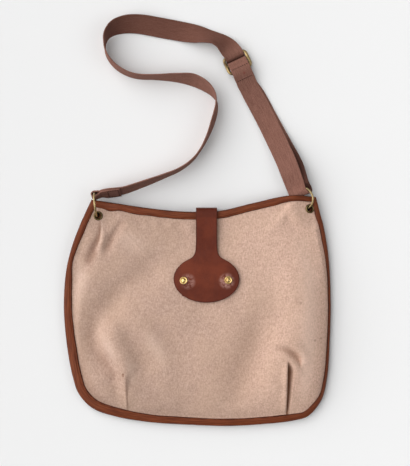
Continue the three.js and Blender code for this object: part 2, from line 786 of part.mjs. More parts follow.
function freeRun() {
  const curve = curveThrough(STRAP_RUN);
  const last = STRAP_RUN.length - 1;
  return STRAP_RUN.map((row, i) => {
    const run = curve.getTangent(i / last);
    return strapStation(vec(row.x, row.y, restHeight(row.lean)), leaned(run, row.lean), WEBBING_WIDTH);
  });
}

function doubledEnd() {
  const slider = vec(SLIDER.x, SLIDER.y, 0);
  const ringLoopPoint = ringFrame(RINGS[1]).loop;
  const run = ringLoopPoint.clone().sub(slider).setZ(0);
  const length = run.length();
  run.normalize();
  const flat = leaned(run, 90);
  const woven = (row) =>
    strapStation(slider.clone().addScaledVector(run, row.along).setZ(row.z), flat, WEBBING_WIDTH);
  const doubled = (row, side) => {
    const across = leaned(run, row.lean);
    const face = across.clone().cross(run).negate();
    const skew = side < 0 ? LOOP_SKEW * smooth(LOOP_SKEW_FROM, length, row.along) : 0;
    const p = slider.clone().addScaledVector(run, row.along).setZ(row.z);
    p.addScaledVector(face, side * PLY_OFFSET).addScaledVector(across, skew);
    return strapStation(p, across, WEBBING_WIDTH);
  };
  return [
    ...WEAVE_IN.map(woven),
    ...DOUBLE_RUN.map((row) => doubled(row, -1)),
    ...ringLoop(RINGS[1], run.clone().negate(), LOOP_SKEW),
    ...DOUBLE_RUN.map((row) => doubled(row, 1)).reverse(),
    ...WEAVE_BACK.map(woven),
  ];
}

function strap() {
  const stations = [...leftEnd(), ...freeRun(), ...doubledEnd()];
  const curve = curveThrough(stations.map((s) => s.p));
  const count = stations.length - 1;
  const frames = [];
  for (let i = 0; i <= count * STRAP_SUBDIVISION; i++) {
    const at = i / STRAP_SUBDIVISION;
    const a = stations[Math.floor(at)];
    const b = stations[Math.min(Math.floor(at) + 1, count)];
    const share = at - Math.floor(at);
    const tangent = curve.getTangent(at / count);
    const across = a.across.clone().lerp(b.across, share);
    across.addScaledVector(tangent, -across.dot(tangent)).normalize();
    const width = a.width + (b.width - a.width) * share;
    frames.push({ p: curve.getPoint(at / count), u: across, v: tangent.clone().cross(across), width });
  }
  const v = WEBBING / 2;
  return sweep(frames, (frame) => [
    { u: frame.width / 2, v },
    { u: -frame.width / 2, v },
    { u: -frame.width / 2, v: -v },
    { u: frame.width / 2, v: -v },
  ]);
}

// Slider: a plate with two slots and rounded corners
function sliderGeometry() {
  const wide = SLIDER.slot / 2 + SLIDER.side;
  const high = SLIDER.pitch + SLIDER.bar / 2;
  const r = SLIDER.corner;
  const outline = new THREE.Shape();
  outline.moveTo(-wide + r, -high).lineTo(wide - r, -high);
  outline.absarc(wide - r, -high + r, r, -Math.PI / 2, 0);
  outline.absarc(wide - r, high - r, r, 0, Math.PI / 2);
  outline.absarc(-wide + r, high - r, r, Math.PI / 2, Math.PI);
  outline.absarc(-wide + r, -high + r, r, Math.PI, 1.5 * Math.PI);
  for (const side of [-1, 1]) {
    const near = side * (SLIDER.bar / 2);
    const far = side * (SLIDER.pitch - SLIDER.bar / 2);
    const slot = new THREE.Path();
    slot.moveTo(-SLIDER.slot / 2, near).lineTo(SLIDER.slot / 2, near);
    slot.lineTo(SLIDER.slot / 2, far).lineTo(-SLIDER.slot / 2, far);
    outline.holes.push(slot);
  }
  const cut = { depth: SLIDER.thick, bevelEnabled: false, curveSegments: SLIDER.cornerSteps };
  const plate = new THREE.ExtrudeGeometry(outline, cut);
  return plate.translate(0, 0, -SLIDER.thick / 2);
}

// Assembly

const canvas = { color: 0xc3a594, roughness: 0.95, metalness: 0 };
const bindingLeather = { color: 0x74412c, roughness: 0.6, metalness: 0 };
const tabLeather = { color: 0x683426, roughness: 0.5, metalness: 0 };
const webbing = { color: 0x8a6156, roughness: 0.9, metalness: 0 };
const brass = { color: 0xc7aa6e, roughness: 0.35, metalness: 1 };

const satchel = new THREE.Group();

function add(name, geometry, finish) {
  const mesh = new THREE.Mesh(geometry, new THREE.MeshStandardMaterial(finish));
  mesh.name = name;
  satchel.add(mesh);
  return mesh;
}

function holePlug(radius, length, place, turn) {
  const plug = new THREE.CylinderGeometry(radius, radius, length, ROUND_STEPS).rotateX(Math.PI / 2);
  return plug.applyQuaternion(turn).translate(place.x, place.y, place.z);
}

const eyeletHoles = RINGS.map((ring) => holePlug(EYELET.barrel + CLEAR, HOLE_PLUG, ring, eyeletTurn(ring)));
add("front_panel", cutAway(panelGeometry("front", FRONT_RINGS, frontHeight), eyeletHoles), canvas);
add("back_panel", cutAway(panelGeometry("back", BACK_RINGS, backHeight), eyeletHoles), canvas);
add("seam_binding", seamBinding(), bindingLeather);
add("front_mouth_binding", mouthBinding("front"), bindingLeather);
add("back_mouth_binding", mouthBinding("back"), bindingLeather);

const studPlaces = STUDS.map(studPlace);
const studHoles = studPlaces.map(({ p, turn }) => holePlug(STUD.post + CLEAR, 2 * TAB_LEATHER, p, turn));
add("closure_tab", cutAway(closureTab(), studHoles), tabLeather);
STUDS.forEach((stud, i) => {
  const mesh = add(`tab_stud_${stud.side}`, studGeometry(), brass);
  mesh.position.copy(studPlaces[i].p);
  mesh.quaternion.copy(studPlaces[i].turn);
});

for (const ring of RINGS) {
  const eyelet = add(`eyelet_${ring.side}`, eyeletGeometry(), brass);
  eyelet.position.set(ring.x, ring.y, ring.z);
  eyelet.quaternion.copy(eyeletTurn(ring));
  add(`ring_${ring.side}`, ringMesh(ring), brass);
}

add("strap", strap(), webbing);
const slider = add("slider", sliderGeometry(), brass);
const sliderRun = ringFrame(RINGS[1]).loop.sub(vec(SLIDER.x, SLIDER.y, 0));
slider.position.set(SLIDER.x, SLIDER.y, SLIDER.z);
slider.rotation.z = Math.atan2(sliderRun.y, sliderRun.x) + Math.PI / 2;

export default satchel;
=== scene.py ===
"""A canvas satchel lying on its back: canvas, leather, webbing and brass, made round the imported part."""
import bpy
import numpy as np
from mathutils import Matrix


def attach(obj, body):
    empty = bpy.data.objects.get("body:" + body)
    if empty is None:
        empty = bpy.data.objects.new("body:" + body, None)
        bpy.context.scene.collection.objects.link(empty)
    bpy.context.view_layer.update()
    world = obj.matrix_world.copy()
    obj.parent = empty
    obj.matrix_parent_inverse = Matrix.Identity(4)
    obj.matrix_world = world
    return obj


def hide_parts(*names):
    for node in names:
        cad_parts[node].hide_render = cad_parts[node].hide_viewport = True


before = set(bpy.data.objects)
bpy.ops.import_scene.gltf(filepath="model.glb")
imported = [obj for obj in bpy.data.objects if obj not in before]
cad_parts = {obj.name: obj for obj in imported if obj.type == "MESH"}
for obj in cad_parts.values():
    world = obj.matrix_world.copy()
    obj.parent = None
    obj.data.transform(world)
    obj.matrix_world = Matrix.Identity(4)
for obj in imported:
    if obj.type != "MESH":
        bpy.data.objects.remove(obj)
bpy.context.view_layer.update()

# All sizes are in millimetres, and MM turns them into the scene's metres
MM = 0.001
UP = np.array([0.0, 0.0, 1.0])


def table(columns, *rows):
    """A short table with named columns, each kept as an array."""
    return dict(zip(columns.split(), np.array(rows, float).T))


# Sheet goods
CANVAS = 1.5
BINDING_LEATHER = 1.2
TAB_LEATHER = 2.2
WEBBING = 1.7
WEBBING_WIDTH = 25.4
CLEAR = 0.4
PANEL_OFFSET = (CANVAS + CLEAR) / 2
BINDING_ROOM = 0.75
LEAF_ROOM = 0.05
BOTH_PANELS_HALF = PANEL_OFFSET + CANVAS / 2
STACK_HALF = BOTH_PANELS_HALF + BINDING_ROOM + BINDING_LEATHER

# Outline of the bag seen from above, to the outer edge of the binding
CENTRE = np.array([2.0, 0.0])
SEAM_POINTS = np.array([
    (-134, 141.5), (-148.3, 110.5), (-159.9, 80), (-167, 49.5), (-169.8, 5), (-166.1, -42),
    (-158.8, -82.5), (-151, -105), (-133.5, -123.3), (-106, -133.5), (-63, -141), (-2, -145),
    (39, -146.2), (80, -144), (120, -139.6), (140.3, -133.4), (157, -113), (164.6, -82.5),
    (167.7, -32), (168.8, 9), (166, 70), (159.4, 110.5), (150.5, 145),
])
MOUTH_POINTS = np.array([
    (150.5, 145), (115, 146.3), (69, 136.7), (28.6, 127.4), (-12, 126.1), (-53, 129.5),
    (-98, 136), (-134, 141.5),
])
BOTTOM_CORNERS = np.array([(-146, -113), (149, -125)])
SEAM_STEPS = 481
MOUTH_STEPS = 201

# The seam's edge: height, degrees that it is rolled down, roundness of the panel, width of the strip
SEAM_EDGE = table(
    "at height tilt full binding",
    (0, 12.3, 2, 3.2, 8.8),
    (0.05, 10, 4, 3.2, 8.9),
    (0.095, 7.9, 5.5, 3.2, 6.9),
    (0.14, 5.8, 7, 3.2, 10.4),
    (0.24, 4.7, 8, 3.2, 12.6),
    (0.33, 4.4, 10, 3.2, 12.8),
    (0.45, 4.6, 14, 4, 10.8),
    (0.62, 5, 20, 4.5, 10.5),
    (0.67, 4.9, 30, 5, 9.4),
    (0.71, 4.8, 54, 7.5, 6.6),
    (0.8, 4.6, 64, 9, 5.4),
    (0.87, 4.6, 63, 9, 5.4),
    (0.95, 6.6, 38, 6.5, 7.2),
    (1, 8.6, 24, 6, 8),
)
# Heights of the two edges of the mouth, from the right corner to the left one
MOUTH_EDGE = table(
    "at front back",
    (0, 12, 9),
    (0.06, 18, 11.5),
    (0.15, 19, 11),
    (0.32, 18, 7.2),
    (0.5, 17, 6.6),
    (0.7, 15.8, 6.6),
    (0.86, 14.8, 7.6),
    (0.95, 14.6, 9),
    (1, 13.2, 11.4),
)
# Width of the mouth's strips along the same way, and how far they stop short of the corners
MOUTH_BINDING = table(
    "at width",
    (0, 7), (0.05, 7.2), (0.115, 7.8), (0.2, 9.8), (0.8, 10.2), (0.866, 8.8), (0.911, 11.4), (0.945, 9.4),
    (1, 8.8),
)
MOUTH_CORNER = 2.5
# Roundness of the panels at the mouth, how far the cloth stops inside its edge, and the flange's width
MOUTH_FULL = 5
EDGE_INSET = 1.7
FLANGE = {"front": 13, "back": 11.8}

# Section of a folded strip: its stitch line as a share of its width, then its rises, roundings and nose
STITCH_AT = 0.8
STRIP = {
    "dip": 0.45, "dip_width": 0.04, "rounding": 0.75, "rounded": 0.06, "plump": 0.6, "fullness": 0.8,
    "seated": 0.3, "nose_turn": 62, "nose_in": 0.25, "nose_out": 1.5, "nose_high": 0.82, "nose_steps": 9,
    "inner_rise": 0.6, "inner_gap": 0.2,
}
# Places across a leaf as shares of its width, from its cut edge to its nose, and those inside the fold
LEAF_PLACES = np.concatenate([np.linspace(1, 0.88, 5), np.linspace(0.85, 0.7, 7), np.linspace(0.62, 0.16, 8)])
INNER_PLACES = np.array([0.99, 0.5, 0.16])
# Uneven width of the strips: share and length of each wave
STRIP_WAVES = [(0.022, 70), (0.012, 21)]

# Fullness of the two panels
CROWN = 33
MOUTH_CROWN = 18.5
CROWN_FROM = 128
CROWN_TO = -15
BACK_FLAT = 0.74
BACK_TURN = 1.4

# Points across and up each panel, crowded where the form is finest: place, spread and weight of each crowd
PANEL_GRID = {
    "front": (
        (288, [(0, 0.03, 1.6), (1, 0.035, 2.5), (0.862, 0.032, 2.6), (0.19, 0.03, 2.0), (0.135, 0.02, 1.6)]),
        (158, [(0, 0.05, 1.2), (1, 0.05, 1.2)]),
    ),
    "back": (
        (130, [(0, 0.04, 2), (1, 0.04, 2.5)]),
        (110, [(0, 0.05, 1.5), (1, 0.06, 1.5)]),
    ),
}

# Folds of the front, each a run of places with the half width to its left and right and the rise there
BROAD_FOLDS = [
    [(-97, -8, 12, 12, -1), (-86, -32, 13, 12, -3), (-76, -52, 14, 13, -2.8), (-66, -76, 15, 15, -2),
     (-58, -100, 14, 14, -1.6)],
    [(-70, -16, 10, 10, 0.5), (-58, -31, 12, 12, 1.3), (-46, -50, 13, 13, 1.2), (-36, -66, 12, 12, 0.4)],
    [(96, -4, 20, 26, -3.5), (80, -34, 22, 26, -7), (66, -66, 22, 26, -7.5), (54, -98, 20, 24, -5.5),
     (48, -122, 16, 20, -2.4)],
    [(98, -40, 14, 16, 0.8), (92, -95, 14, 14, 1.2)],
    [(120, 84, 14, 40, 1.6), (132, 30, 14, 40, 2), (134, -20, 12, 30, 1.4)],
    [(-22, 112, 8, 8, -1.4), (-17, 96, 9, 9, -1.2)],
    [(-104, -84, 7, 7, -1.8), (-101, -118, 6, 6, -1.4)],
    [(-72, 4, 9, 9, -1.6), (-44, -17, 10, 10, -1.8), (-22, -32, 10, 10, -0.8)],
]
RIM_FOLDS = [
    [(-104, 84, 14, 12, 1), (-126, 62, 14, 10, 1.6), (-141, 36, 14, 9, 2.6), (-150, 10, 12, 8, 3),
     (-153, -10, 9, 7, 1.6), (-154, -26, 7, 6, 0)],
    [(-34, 74, 22, 18, -1.5), (-58, 52, 24, 20, -6), (-88, 28, 22, 22, -10), (-108, 6, 18, 20, -11.5),
     (-121, -12, 14, 18, -12), (-128, -31, 12, 15, -12), (-121, -50, 10, 17, -11), (-108, -69, 9, 19, -8.5),
     (-102, -88, 7, 16, -4), (-98, -106, 6, 14, -1.5)],
    [(-90.8, -80, 1.8, 1.6, 0.6), (-90.4, -92, 1.5, 1.3, 1.5), (-90, -108, 1.3, 1.2, 1.5),
     (-89.3, -132, 1.2, 1.1, 1.3)],
]
FINE_FOLDS = [
    [(-117, -9, 20, 12, 2.5), (-108, -30.5, 26, 13, 6), (-98, -52, 24, 11.5, 5.8), (-92.6, -69, 15, 9.5, 4.2),
     (-91, -83, 6, 4, 2.6), (-90.4, -96, 3, 3, 0.8)],
    [(-119.4, 113, 3, 1.8, 5), (-119.2, 104, 3, 1.8, 5), (-119.2, 96, 3, 2, 3.4), (-120.6, 87, 3.2, 2.4, 3.6),
     (-123.6, 77, 3.8, 3.4, 2.4)],
    [(-121.5, 108, 4, 4, -3.4), (-124, 96, 4.5, 4.5, -4.6), (-129, 82, 5, 6, -6.4), (-134, 70, 5, 7, -6),
     (-141, 56, 7, 8, -2)],
    [(-96, 111, 6, 6, -2.2), (-105, 98, 6.5, 6, -4.4), (-110.5, 87, 6, 5.5, -4), (-115, 76, 6, 5, -1.8)],
    [(101, -45, 3, 3, -1), (111, -47.5, 5, 3.2, -3.4), (120, -52, 4, 5, -5.4), (127, -59, 3, 4.4, -5.6),
     (129, -66, 2, 3, -2)],
    [(104, -36, 5, 5, 0.8), (122, -41, 6, 6, 2), (134, -52, 5, 5, 1.8), (138, -62, 5, 5, 0.8)],
    [(108.6, -55, 3.5, 3.5, 0.8), (118.7, -60, 4, 4, 1.8), (125, -67, 4, 4, 1.6), (127.6, -77, 4, 4, 0.6)],
]
# How soon inside the rim the folds reach their full rise: twice and six times the panel's own swell
INNER_RISE = 2
RIM_RISE = 6
# Ripples all over the front as rise, size and seed, and puckers beside the binding
RIPPLES = [(0.35, 46, 4), (0.12, 17, 9)]
PUCKER = {"rise": 0.5, "size": 24, "seed": 12, "reach": 13}
# The right dart: a pleat whose left lip stands over a slit, which closes towards the bottom
DART = {
    "top": (112.4, -63), "bottom": (111.4, -133), "deep": (7, 3.2), "wide": (12.5, 4.5), "power": 0.7,
    "lip": 1.8, "lip_width": 5, "drop": (-0.3, 0.6), "ramp": (0.3, 1.1),
    "opens": (-0.05, 0.12), "closes": (1.0, 1.1), "widens": (-0.05, 0.2), "narrowest": 0.3,
}

# Bands painted darker or paler on the front, laid in the way of folds: above 0 painted shade in the broad
# trough and beside the crease below the left eyelet, and darker lines along the left dart and beside the
# lower-left binding; below 0 painted light on ridges and lit slopes
DARK_AND_PALE_BANDS = [
    [(-89.2, -84, 0.9, 1.2, 0.2), (-88.7, -98, 0.9, 1.2, 0.45), (-87.7, -132, 0.9, 1.2, 0.5)],
    [(-154, -50, 8, 8, 0.16), (-146, -86, 9, 8, 0.4), (-133, -107, 9, 8, 0.34), (-110, -121, 7, 8, 0.16)],
    [(-124, -44, 7, 7, 0.1), (-117, -60, 8, 8, 0.28), (-109, -76, 7, 7, 0.2)],
    [(-120, -6, 8, 8, -0.15), (-120, -30, 9, 9, -0.4), (-109, -50, 9, 9, -0.6), (-101, -68, 6, 6, -0.2)],
    [(-88, -56, 6, 6, -0.2), (-84, -69, 7, 7, -0.45), (-80, -86, 6, 6, -0.25)],
    [(-66, -22, 9, 9, -0.2), (-58, -34, 11, 11, -0.42), (-48, -50, 11, 11, -0.42), (-40, -66, 9, 9, -0.2)],
    [(-102, 98, 14, 14, -0.3), (-82, 86, 17, 17, -0.4), (-60, 80, 15, 15, -0.2)],
    [(132, 84, 12, 12, -0.3), (140, 40, 14, 14, -0.5), (141, 0, 14, 14, -0.55), (139, -40, 13, 13, -0.6),
     (137, -80, 10, 12, -0.5), (134, -108, 8, 10, -0.3)],
    [(-149, 66, 5, 6, -0.3), (-147, 48, 13, 8, -0.5), (-150, 24, 12, 8, -0.4), (-152, 6, 9, 8, -0.2)],
    [(-122.8, 116, 1.2, 1.2, 0.3), (-123, 104, 1.2, 1.2, 0.44), (-123.4, 95, 1.2, 1.2, 0.4),
     (-125.4, 87, 1.4, 1.4, 0.28), (-129.5, 79, 1.6, 1.6, 0.1)],
    [(-120.6, 116, 1.2, 1.2, -0.45), (-120.7, 104, 1.3, 1.3, -0.64), (-121.1, 95, 1.4, 1.4, -0.64),
     (-122.8, 87, 1.7, 1.7, -0.58), (-126, 79, 2.4, 2.4, -0.4)],
]
# Painted shade in the dart's slit, then in fine and broad troughs with the depth that has it all
SLIT_SHADE = 1.15
FINE_TROUGH_SHADE = {"share": 0.42, "depth": 4}
BROAD_TROUGH_SHADE = {"share": 0.08, "depth": 6}
# Painted shade on the back behind the eyelets, so that their holes look dark
EYELET_SHADE = {"share": 2, "radius": 6}
# Small spots and wide stains on the canvas
CANVAS_STAINS = table(
    "x y radius soft strength",
    (-93.2, -78, 0.6, 1.2, 0.8),
    (-93.2, -80.2, 0.6, 1.3, 0.7),
    (129, 11.4, 0.8, 1.6, 0.35),
    (147.3, -35.6, 0.8, 1.6, 0.45),
    (155, -33, 0.6, 1.4, 0.3),
    (127, 14, 3, 5, 0.1),
    (-63, -40, 9, 30, 0.05),
    (70, -60, 12, 40, 0.04),
)

# Closure tab: an oval with a neck, its way over the mouth and down the back, and its cut edge
TAB = {"x": 11.4, "neck": 13.2, "y": 41.3, "wide": 41.1, "high": 29.2, "join": 65.8, "back_end": 90}
TAB_SEAT = CANVAS / 2 + 2 * CLEAR + TAB_LEATHER / 2
TAB_CLIMB = {"from": 64, "to": 110, "rise": 3.6}
TAB_LIFT = {"from": 54, "to": 78, "near": 38, "far": 80, "rise": 3.4}
TAB_TOP_Y = 118
TAB_LEAD = 6
TAB_OVER_MOUTH = table("y drop", (123.5, 0.2), (127.4, 1.2), (129.4, 3.6))
TAB_DOWN_BACK = table(
    "y z",
    (129.8, 13), (129.7, 6.5), (128.9, 3.2), (126.6, 1.7), (122, 1.4), (112, 1.4), (TAB["back_end"], 1.4),
)
TAB_SAG_ABOVE = 4
TAB_GRID = {"across": 61, "oval": 34, "up": 66, "over": 60, "crowding": 0.4}
TAB_EDGE = {"dark": (0.2, 1.9), "oval": 0.8, "far": 99.0, "bend": 0.4, "rounding": 0.5, "angle": 50}
TAB_SLOPE_STEP = 4.0

# Studs: their places on the tab, and the radius and height of their turned profile
STUDS = np.array([(-17.1, 39.4), (38.7, 39.9)])
STUD_PROFILE = [
    (0, -2), (1.5, -2), (1.5, 0.1), (4.5, 0.1), (4.88, 0.35), (5, 0.8), (4.9, 1.25), (4.5, 1.65), (3.9, 1.8),
    (3.4, 1.6), (3.15, 1.3), (2.95, 1.35), (2.7, 1.75), (2.2, 2.15), (1.4, 2.5), (0.7, 2.66), (0, 2.7),
]
STUD_STEPS = 40

# Eyelets and rings: the wire's place in the eyelet, the ring's heading and lean, the rise of its middle,
# the slope of the panels there and the strap's width in its turn round the wire
RINGS = [
    {"x": -126.8, "y": 121.6, "z": 12.3, "heading": 96.5, "lean": 0, "rise": 6, "slope": 0, "loop": 11},
    {"x": 139.2, "y": 130.3, "z": 14, "heading": 119.9, "lean": 63, "rise": 0, "slope": 22, "loop": 23},
]
ROLL_HEADING = 15
RING_RADIUS = 14.2
RING_WIRE = 1.25
RING_STEPS = 96
RING_SIDES = 18
EYELET = {
    "hole": 3.7, "flange": 5.9, "seat": 0.6, "narrow": 0.6, "off": (1.6, -0.9), "steps": 48,
    "collar_steps": 10, "collar_sink": 0.5, "collar_rise": 1.3,
    "outer_wall": (-0.1, -0.8), "inner_wall": (0.7, -0.9), "dark_width": 1, "dark_below": 0.6,
}
# Holes in the panels: their radius, the middle whose faces are left out, and the reach that is pushed out
HOLES = {"front": {"radius": 4.3, "middle": 1.6}, "back": {"radius": 1.3, "middle": 0.8}}
HOLE_REACH = 10
# Flat place round each eyelet
PINCH = {"flat": 15, "reach": 27, "spread": 2.6}

# Slider
SLIDER = {
    "x": 50.5, "y": 315.1, "z": 6, "pitch": 10.5, "wire": 2, "flat": 0.6, "half": 14.8, "corner": 4.5,
    "bar": 0.9, "steps": 120, "bar_steps": 12, "sides": 16, "corner_steps": 9,
}
SLIDER_PLACE = np.array([SLIDER["x"], SLIDER["y"], 0.0])

# Strap from the left ring to the slider: lean in degrees from standing on edge, to the left above 0
STRAP_RUN = table(
    "x y lean",
    (-81.2, 156.4, 17), (-61.6, 163.5, 14), (-42.3, 170.8, 9), (-22.9, 179.1, 6), (-6.4, 191.1, 3),
    (4.4, 205.1, 2), (13.3, 222.3, 6), (19.7, 240, 10), (23.5, 255.3, 8), (23.9, 265.4, 2),
    (19.7, 275, -12), (10.8, 283.8, -25), (-5.7, 292.2, -32), (-26, 294.9, -20), (-54, 295.7, -9),
    (-74.3, 296.4, -8), (-88.9, 300.4, -8), (-102.2, 308.4, -8), (-111.6, 318.8, -6),
    (-116.2, 328.9, -3), (-116.8, 339.7, 3), (-113.7, 349.9, 18), (-105.4, 358.1, 38),
    (-92, 362.8, 56), (-74.5, 363.5, 68), (-48.4, 359.5, 82), (-22, 354.8, 92), (-4, 351.2, 108),
    (10.4, 348.2, 130),
)
STRAP_REST = 0.8
# Its bend to the slider, with the heading of each place
STRAP_BEND = table(
    "x y z heading lean",
    (21.4, 345.4, 11, -22, 136), (31.2, 340.2, 10.8, -40, 126), (39, 333.2, 9.8, -54, 106),
)
LEFT_RUN = {"heading": 7, "lean": 19, "sewn_from": 14, "end": 36, "tail": 33}
LOOP = {"taper": 8, "steps": 8, "skew": 5.6, "lean": 76}
PLY_OFFSET = (WEBBING + CLEAR) / 2
WEAVE_WIDTH = 24.6
# Weave through the slider, along the run from the slider to the right ring
WEAVE_IN = table(
    "along z",
    (-10.5, 8.7), (-7.4, 7.2), (-3.4, 2.5), (0, 1.4), (3.2, 2.1),
    (5.2, 4.6), (6.8, 7), (8.4, 8.3), (10.5, 8.6), (14.5, 7.8), (22, 4.3), (32, 1.9),
)
WEAVE_BACK = table(
    "along z",
    (33, 5.4), (23.4, 8.7), (15, 12.3), (10.2, 13), (6.1, 12.1), (3.6, 10), (1.2, 8.9), (-1.4, 8.4),
    (-2.6, 6.6), (-2.6, 5.2), (-1.5, 3.8), (0.4, 3.5), (2.1, 3.9), (3.5, 6), (5.2, 8.6), (7.2, 10.2),
    (10.3, 10.8), (14.8, 10.1), (22.7, 6.5), (27, 5.1),
)
# The doubled run to the right ring: the two layers' gap, the lower one's skew and the shift of both aside
DOUBLE_RUN = table(
    "along z lean gap skew side",
    (46, 2.6, 90, 2.1, 1.6, 0.8), (75, 2.5, 90, 2.1, 2, 2.5), (100, 3.8, 88, 2.8, 2.8, 3),
    (120, 6.4, 85, 4, 3.8, 3.2), (138, 9.4, 81, 6, 4.8, 3.1), (152, 12, 78, 8, 5.4, 2.4),
)
STRAP_FINENESS = 9
# Half of the strap's section from selvedge to middle: share of its half width, share of its thickness
STRAP_SECTION = table(
    "across thick",
    (1, 0.35), (0.985, 0.75), (0.94, 1), (0.88, 1), (0.82, 0.86), (0.6, 0.9), (0.3, 0.92), (0, 0.93),
)
# Painted shade on the lower layer: where it enters the slider's slot, and the upper layer's shadow on it
STRAP_SHADE = {"at": -3, "width": 3.2, "share": 1.2, "shaded": (84, 140), "shade": 0.9}

# Stitches: the spindle of one stitch as shares of its pitch and thickness, then each seam's pitch and thread
SPINDLE = table(
    "along girth sink",
    (-0.42, 0.3, -0.5), (-0.3, 0.85, -0.1), (0, 1, 0.1), (0.3, 0.85, -0.1), (0.42, 0.3, -0.5),
)
SPINDLE_SIDES = 6
STRIP_STITCH = {"pitch": 3.2, "thick": 0.55, "seat": 0.12}
STRAP_STITCH = {"pitch": 2.4, "thick": 1.0, "seat": 0.05}
# Seams of the strap: lengths from the slider's bar, shares of the width, and the box on the tail
STITCHED_AT = (7.5, 22.4)
STITCHED_SHARE = 0.84
STITCHED_STEPS = 30
TAIL_BOX = (3, 16)
TAIL_SHARE = 0.8

# Camera: straight above the middle of the photograph's frame
FRAME_MIDDLE = (9.5, 99.0)
FRAME_HEIGHT = 591.8
CAMERA_HEIGHT = 1900.0
SENSOR_HEIGHT = 36

# Setting, in metres: the floor's half width, the sky's strength and the lights. A sun's size is in degrees
FLOOR_HALF = 4.0
SKY_STRENGTH = 0.225
LIGHTS = [
    {"name": "window", "kind": "SUN", "place": (-3.3, 1.0, 2.5), "target": (0.0, 0.1, 0.0), "size": 100,
     "power": 4.0},
    {"name": "reflector", "kind": "AREA", "place": (1.5, 0.0, 1.5), "target": (0.35, 0.05, 0.0), "size": 1.4,
     "power": 7},
]
# A wave texture of scale 1 repeats after this length, a tenth of pi
WAVE_LENGTH = 0.31416

# Fineness: steps for each point of a curve and each place of a fold, and along a side, a guide or a crowd
CURVE_STEPS = 40
FOLD_STEPS = 30
SIDE_STEPS = 600
CROWD_STEPS = 4001
# Noise as a sum of waves: their number, and their shortest length and its spread as shares of a size
NOISE = {"waves": 9, "shortest": 0.7, "spread": 0.8}


# Numbers and curves


def ease(low, high, value):
    """Smooth step: 0 below low, 1 above high, and 3t^2 - 2t^3 between."""
    t = np.clip((np.asarray(value, float) - low) / (high - low), 0, 1)
    return t * t * (3 - 2 * t)


def bell(value, width):
    """Bell curve: e to the power of minus the square of the value's share of the width."""
    return np.exp(-((value / width) ** 2))


def eased(rows, at, column):
    """A table's column read at places along it, with a smooth step between neighbouring rows."""
    place, value = rows["at"], rows[column]
    i = np.clip(np.searchsorted(place, at) - 1, 0, len(place) - 2)
    return value[i] + (value[i + 1] - value[i]) * ease(0, 1, (at - place[i]) / (place[i + 1] - place[i]))


def unit(vectors):
    """Vectors divided by their own length."""
    vectors = np.asarray(vectors, float)
    return vectors / np.linalg.norm(vectors, axis=-1, keepdims=True)


def heading(degrees):
    """Level unit vector at an angle from +X."""
    return np.array([np.cos(np.radians(degrees)), np.sin(np.radians(degrees)), 0.0])


def spline(rows, at, measured):
    """Rows read between whole places by a smooth curve through all of them: on each stretch a cubic whose
    end slopes come from its neighbours, with knots spaced by the square root of the chord. The first columns,
    as many as measured says, give the chord."""
    p = np.asarray(rows, float)
    q = np.vstack([2 * p[0] - p[1], p, 2 * p[-1] - p[-2]])
    gap = np.linalg.norm(np.diff(q[:, :measured], axis=0), axis=1) ** 0.5
    i = np.clip(np.floor(at).astype(int), 0, len(p) - 2)
    t = (at - i)[:, None]
    before, here, after = gap[i][:, None], gap[i + 1][:, None], gap[i + 2][:, None]
    p0, p1, p2, p3 = q[i], q[i + 1], q[i + 2], q[i + 3]
    slope1 = ((p1 - p0) / before - (p2 - p0) / (before + here) + (p2 - p1) / here) * here
    slope2 = ((p2 - p1) / here - (p3 - p1) / (here + after) + (p3 - p2) / after) * here
    start = (2 * t**3 - 3 * t**2 + 1) * p1 + (t**3 - 2 * t**2 + t) * slope1
    return start + (3 * t**2 - 2 * t**3) * p2 + (t**3 - t**2) * slope2


def lengths(points):
    """Length run along a line of points, from 0 at the first."""
    steps = np.linalg.norm(np.diff(points, axis=0), axis=1)
    return np.concatenate([[0.0], np.cumsum(steps)])


def read_along(rows, known, at):
    """Rows that are known at places along a line, read at other places by straight steps between them."""
    return np.stack([np.interp(at, known, column) for column in np.asarray(rows).T], axis=1)


def evenly(points, count):
    """A line of points cut again into count places with equal lengths between."""
    run = lengths(points)
    return read_along(points, run, np.linspace(0, run[-1], count))


def curve_through(points, count):
    """A smooth curve through the points, at count places with equal lengths between."""
    fine = spline(points, np.linspace(0, len(points) - 1, CURVE_STEPS * len(points)), 2)
    return evenly(fine, count)


def crowded(count, crowds):
    """Places from 0 to 1, closer together near each crowd of (place, spread, weight): equal steps of the
    summed weight, which is 1 everywhere plus a bell curve for each crowd."""
    fine = np.linspace(0, 1, CROWD_STEPS)
    density = 1 + sum(weight * bell(fine - place, spread) for place, spread, weight in crowds)
    total = np.concatenate([[0.0], np.cumsum((density[1:] + density[:-1]) / 2)])
    return np.interp(np.linspace(0, total[-1], count), total, fine)


def soft_noise(x, y, size, seed):
    """Smooth noise about 0: a sum of plane waves of about one size, with seeded directions, phases and
    lengths, divided by the root of their number."""
    draw = np.random.default_rng(seed)
    total = np.zeros(np.broadcast(x, y).shape)
    for turn, phase, stretch in draw.uniform(0, 1, (NOISE["waves"], 3)):
        angle = 2 * np.pi * turn
        length = size * (NOISE["shortest"] + NOISE["spread"] * stretch)
        wave = 2 * np.pi * (np.cos(angle) * x + np.sin(angle) * y) / length
        total += np.sin(wave + 2 * np.pi * phase)
    return total / np.sqrt(NOISE["waves"])


# Meshes


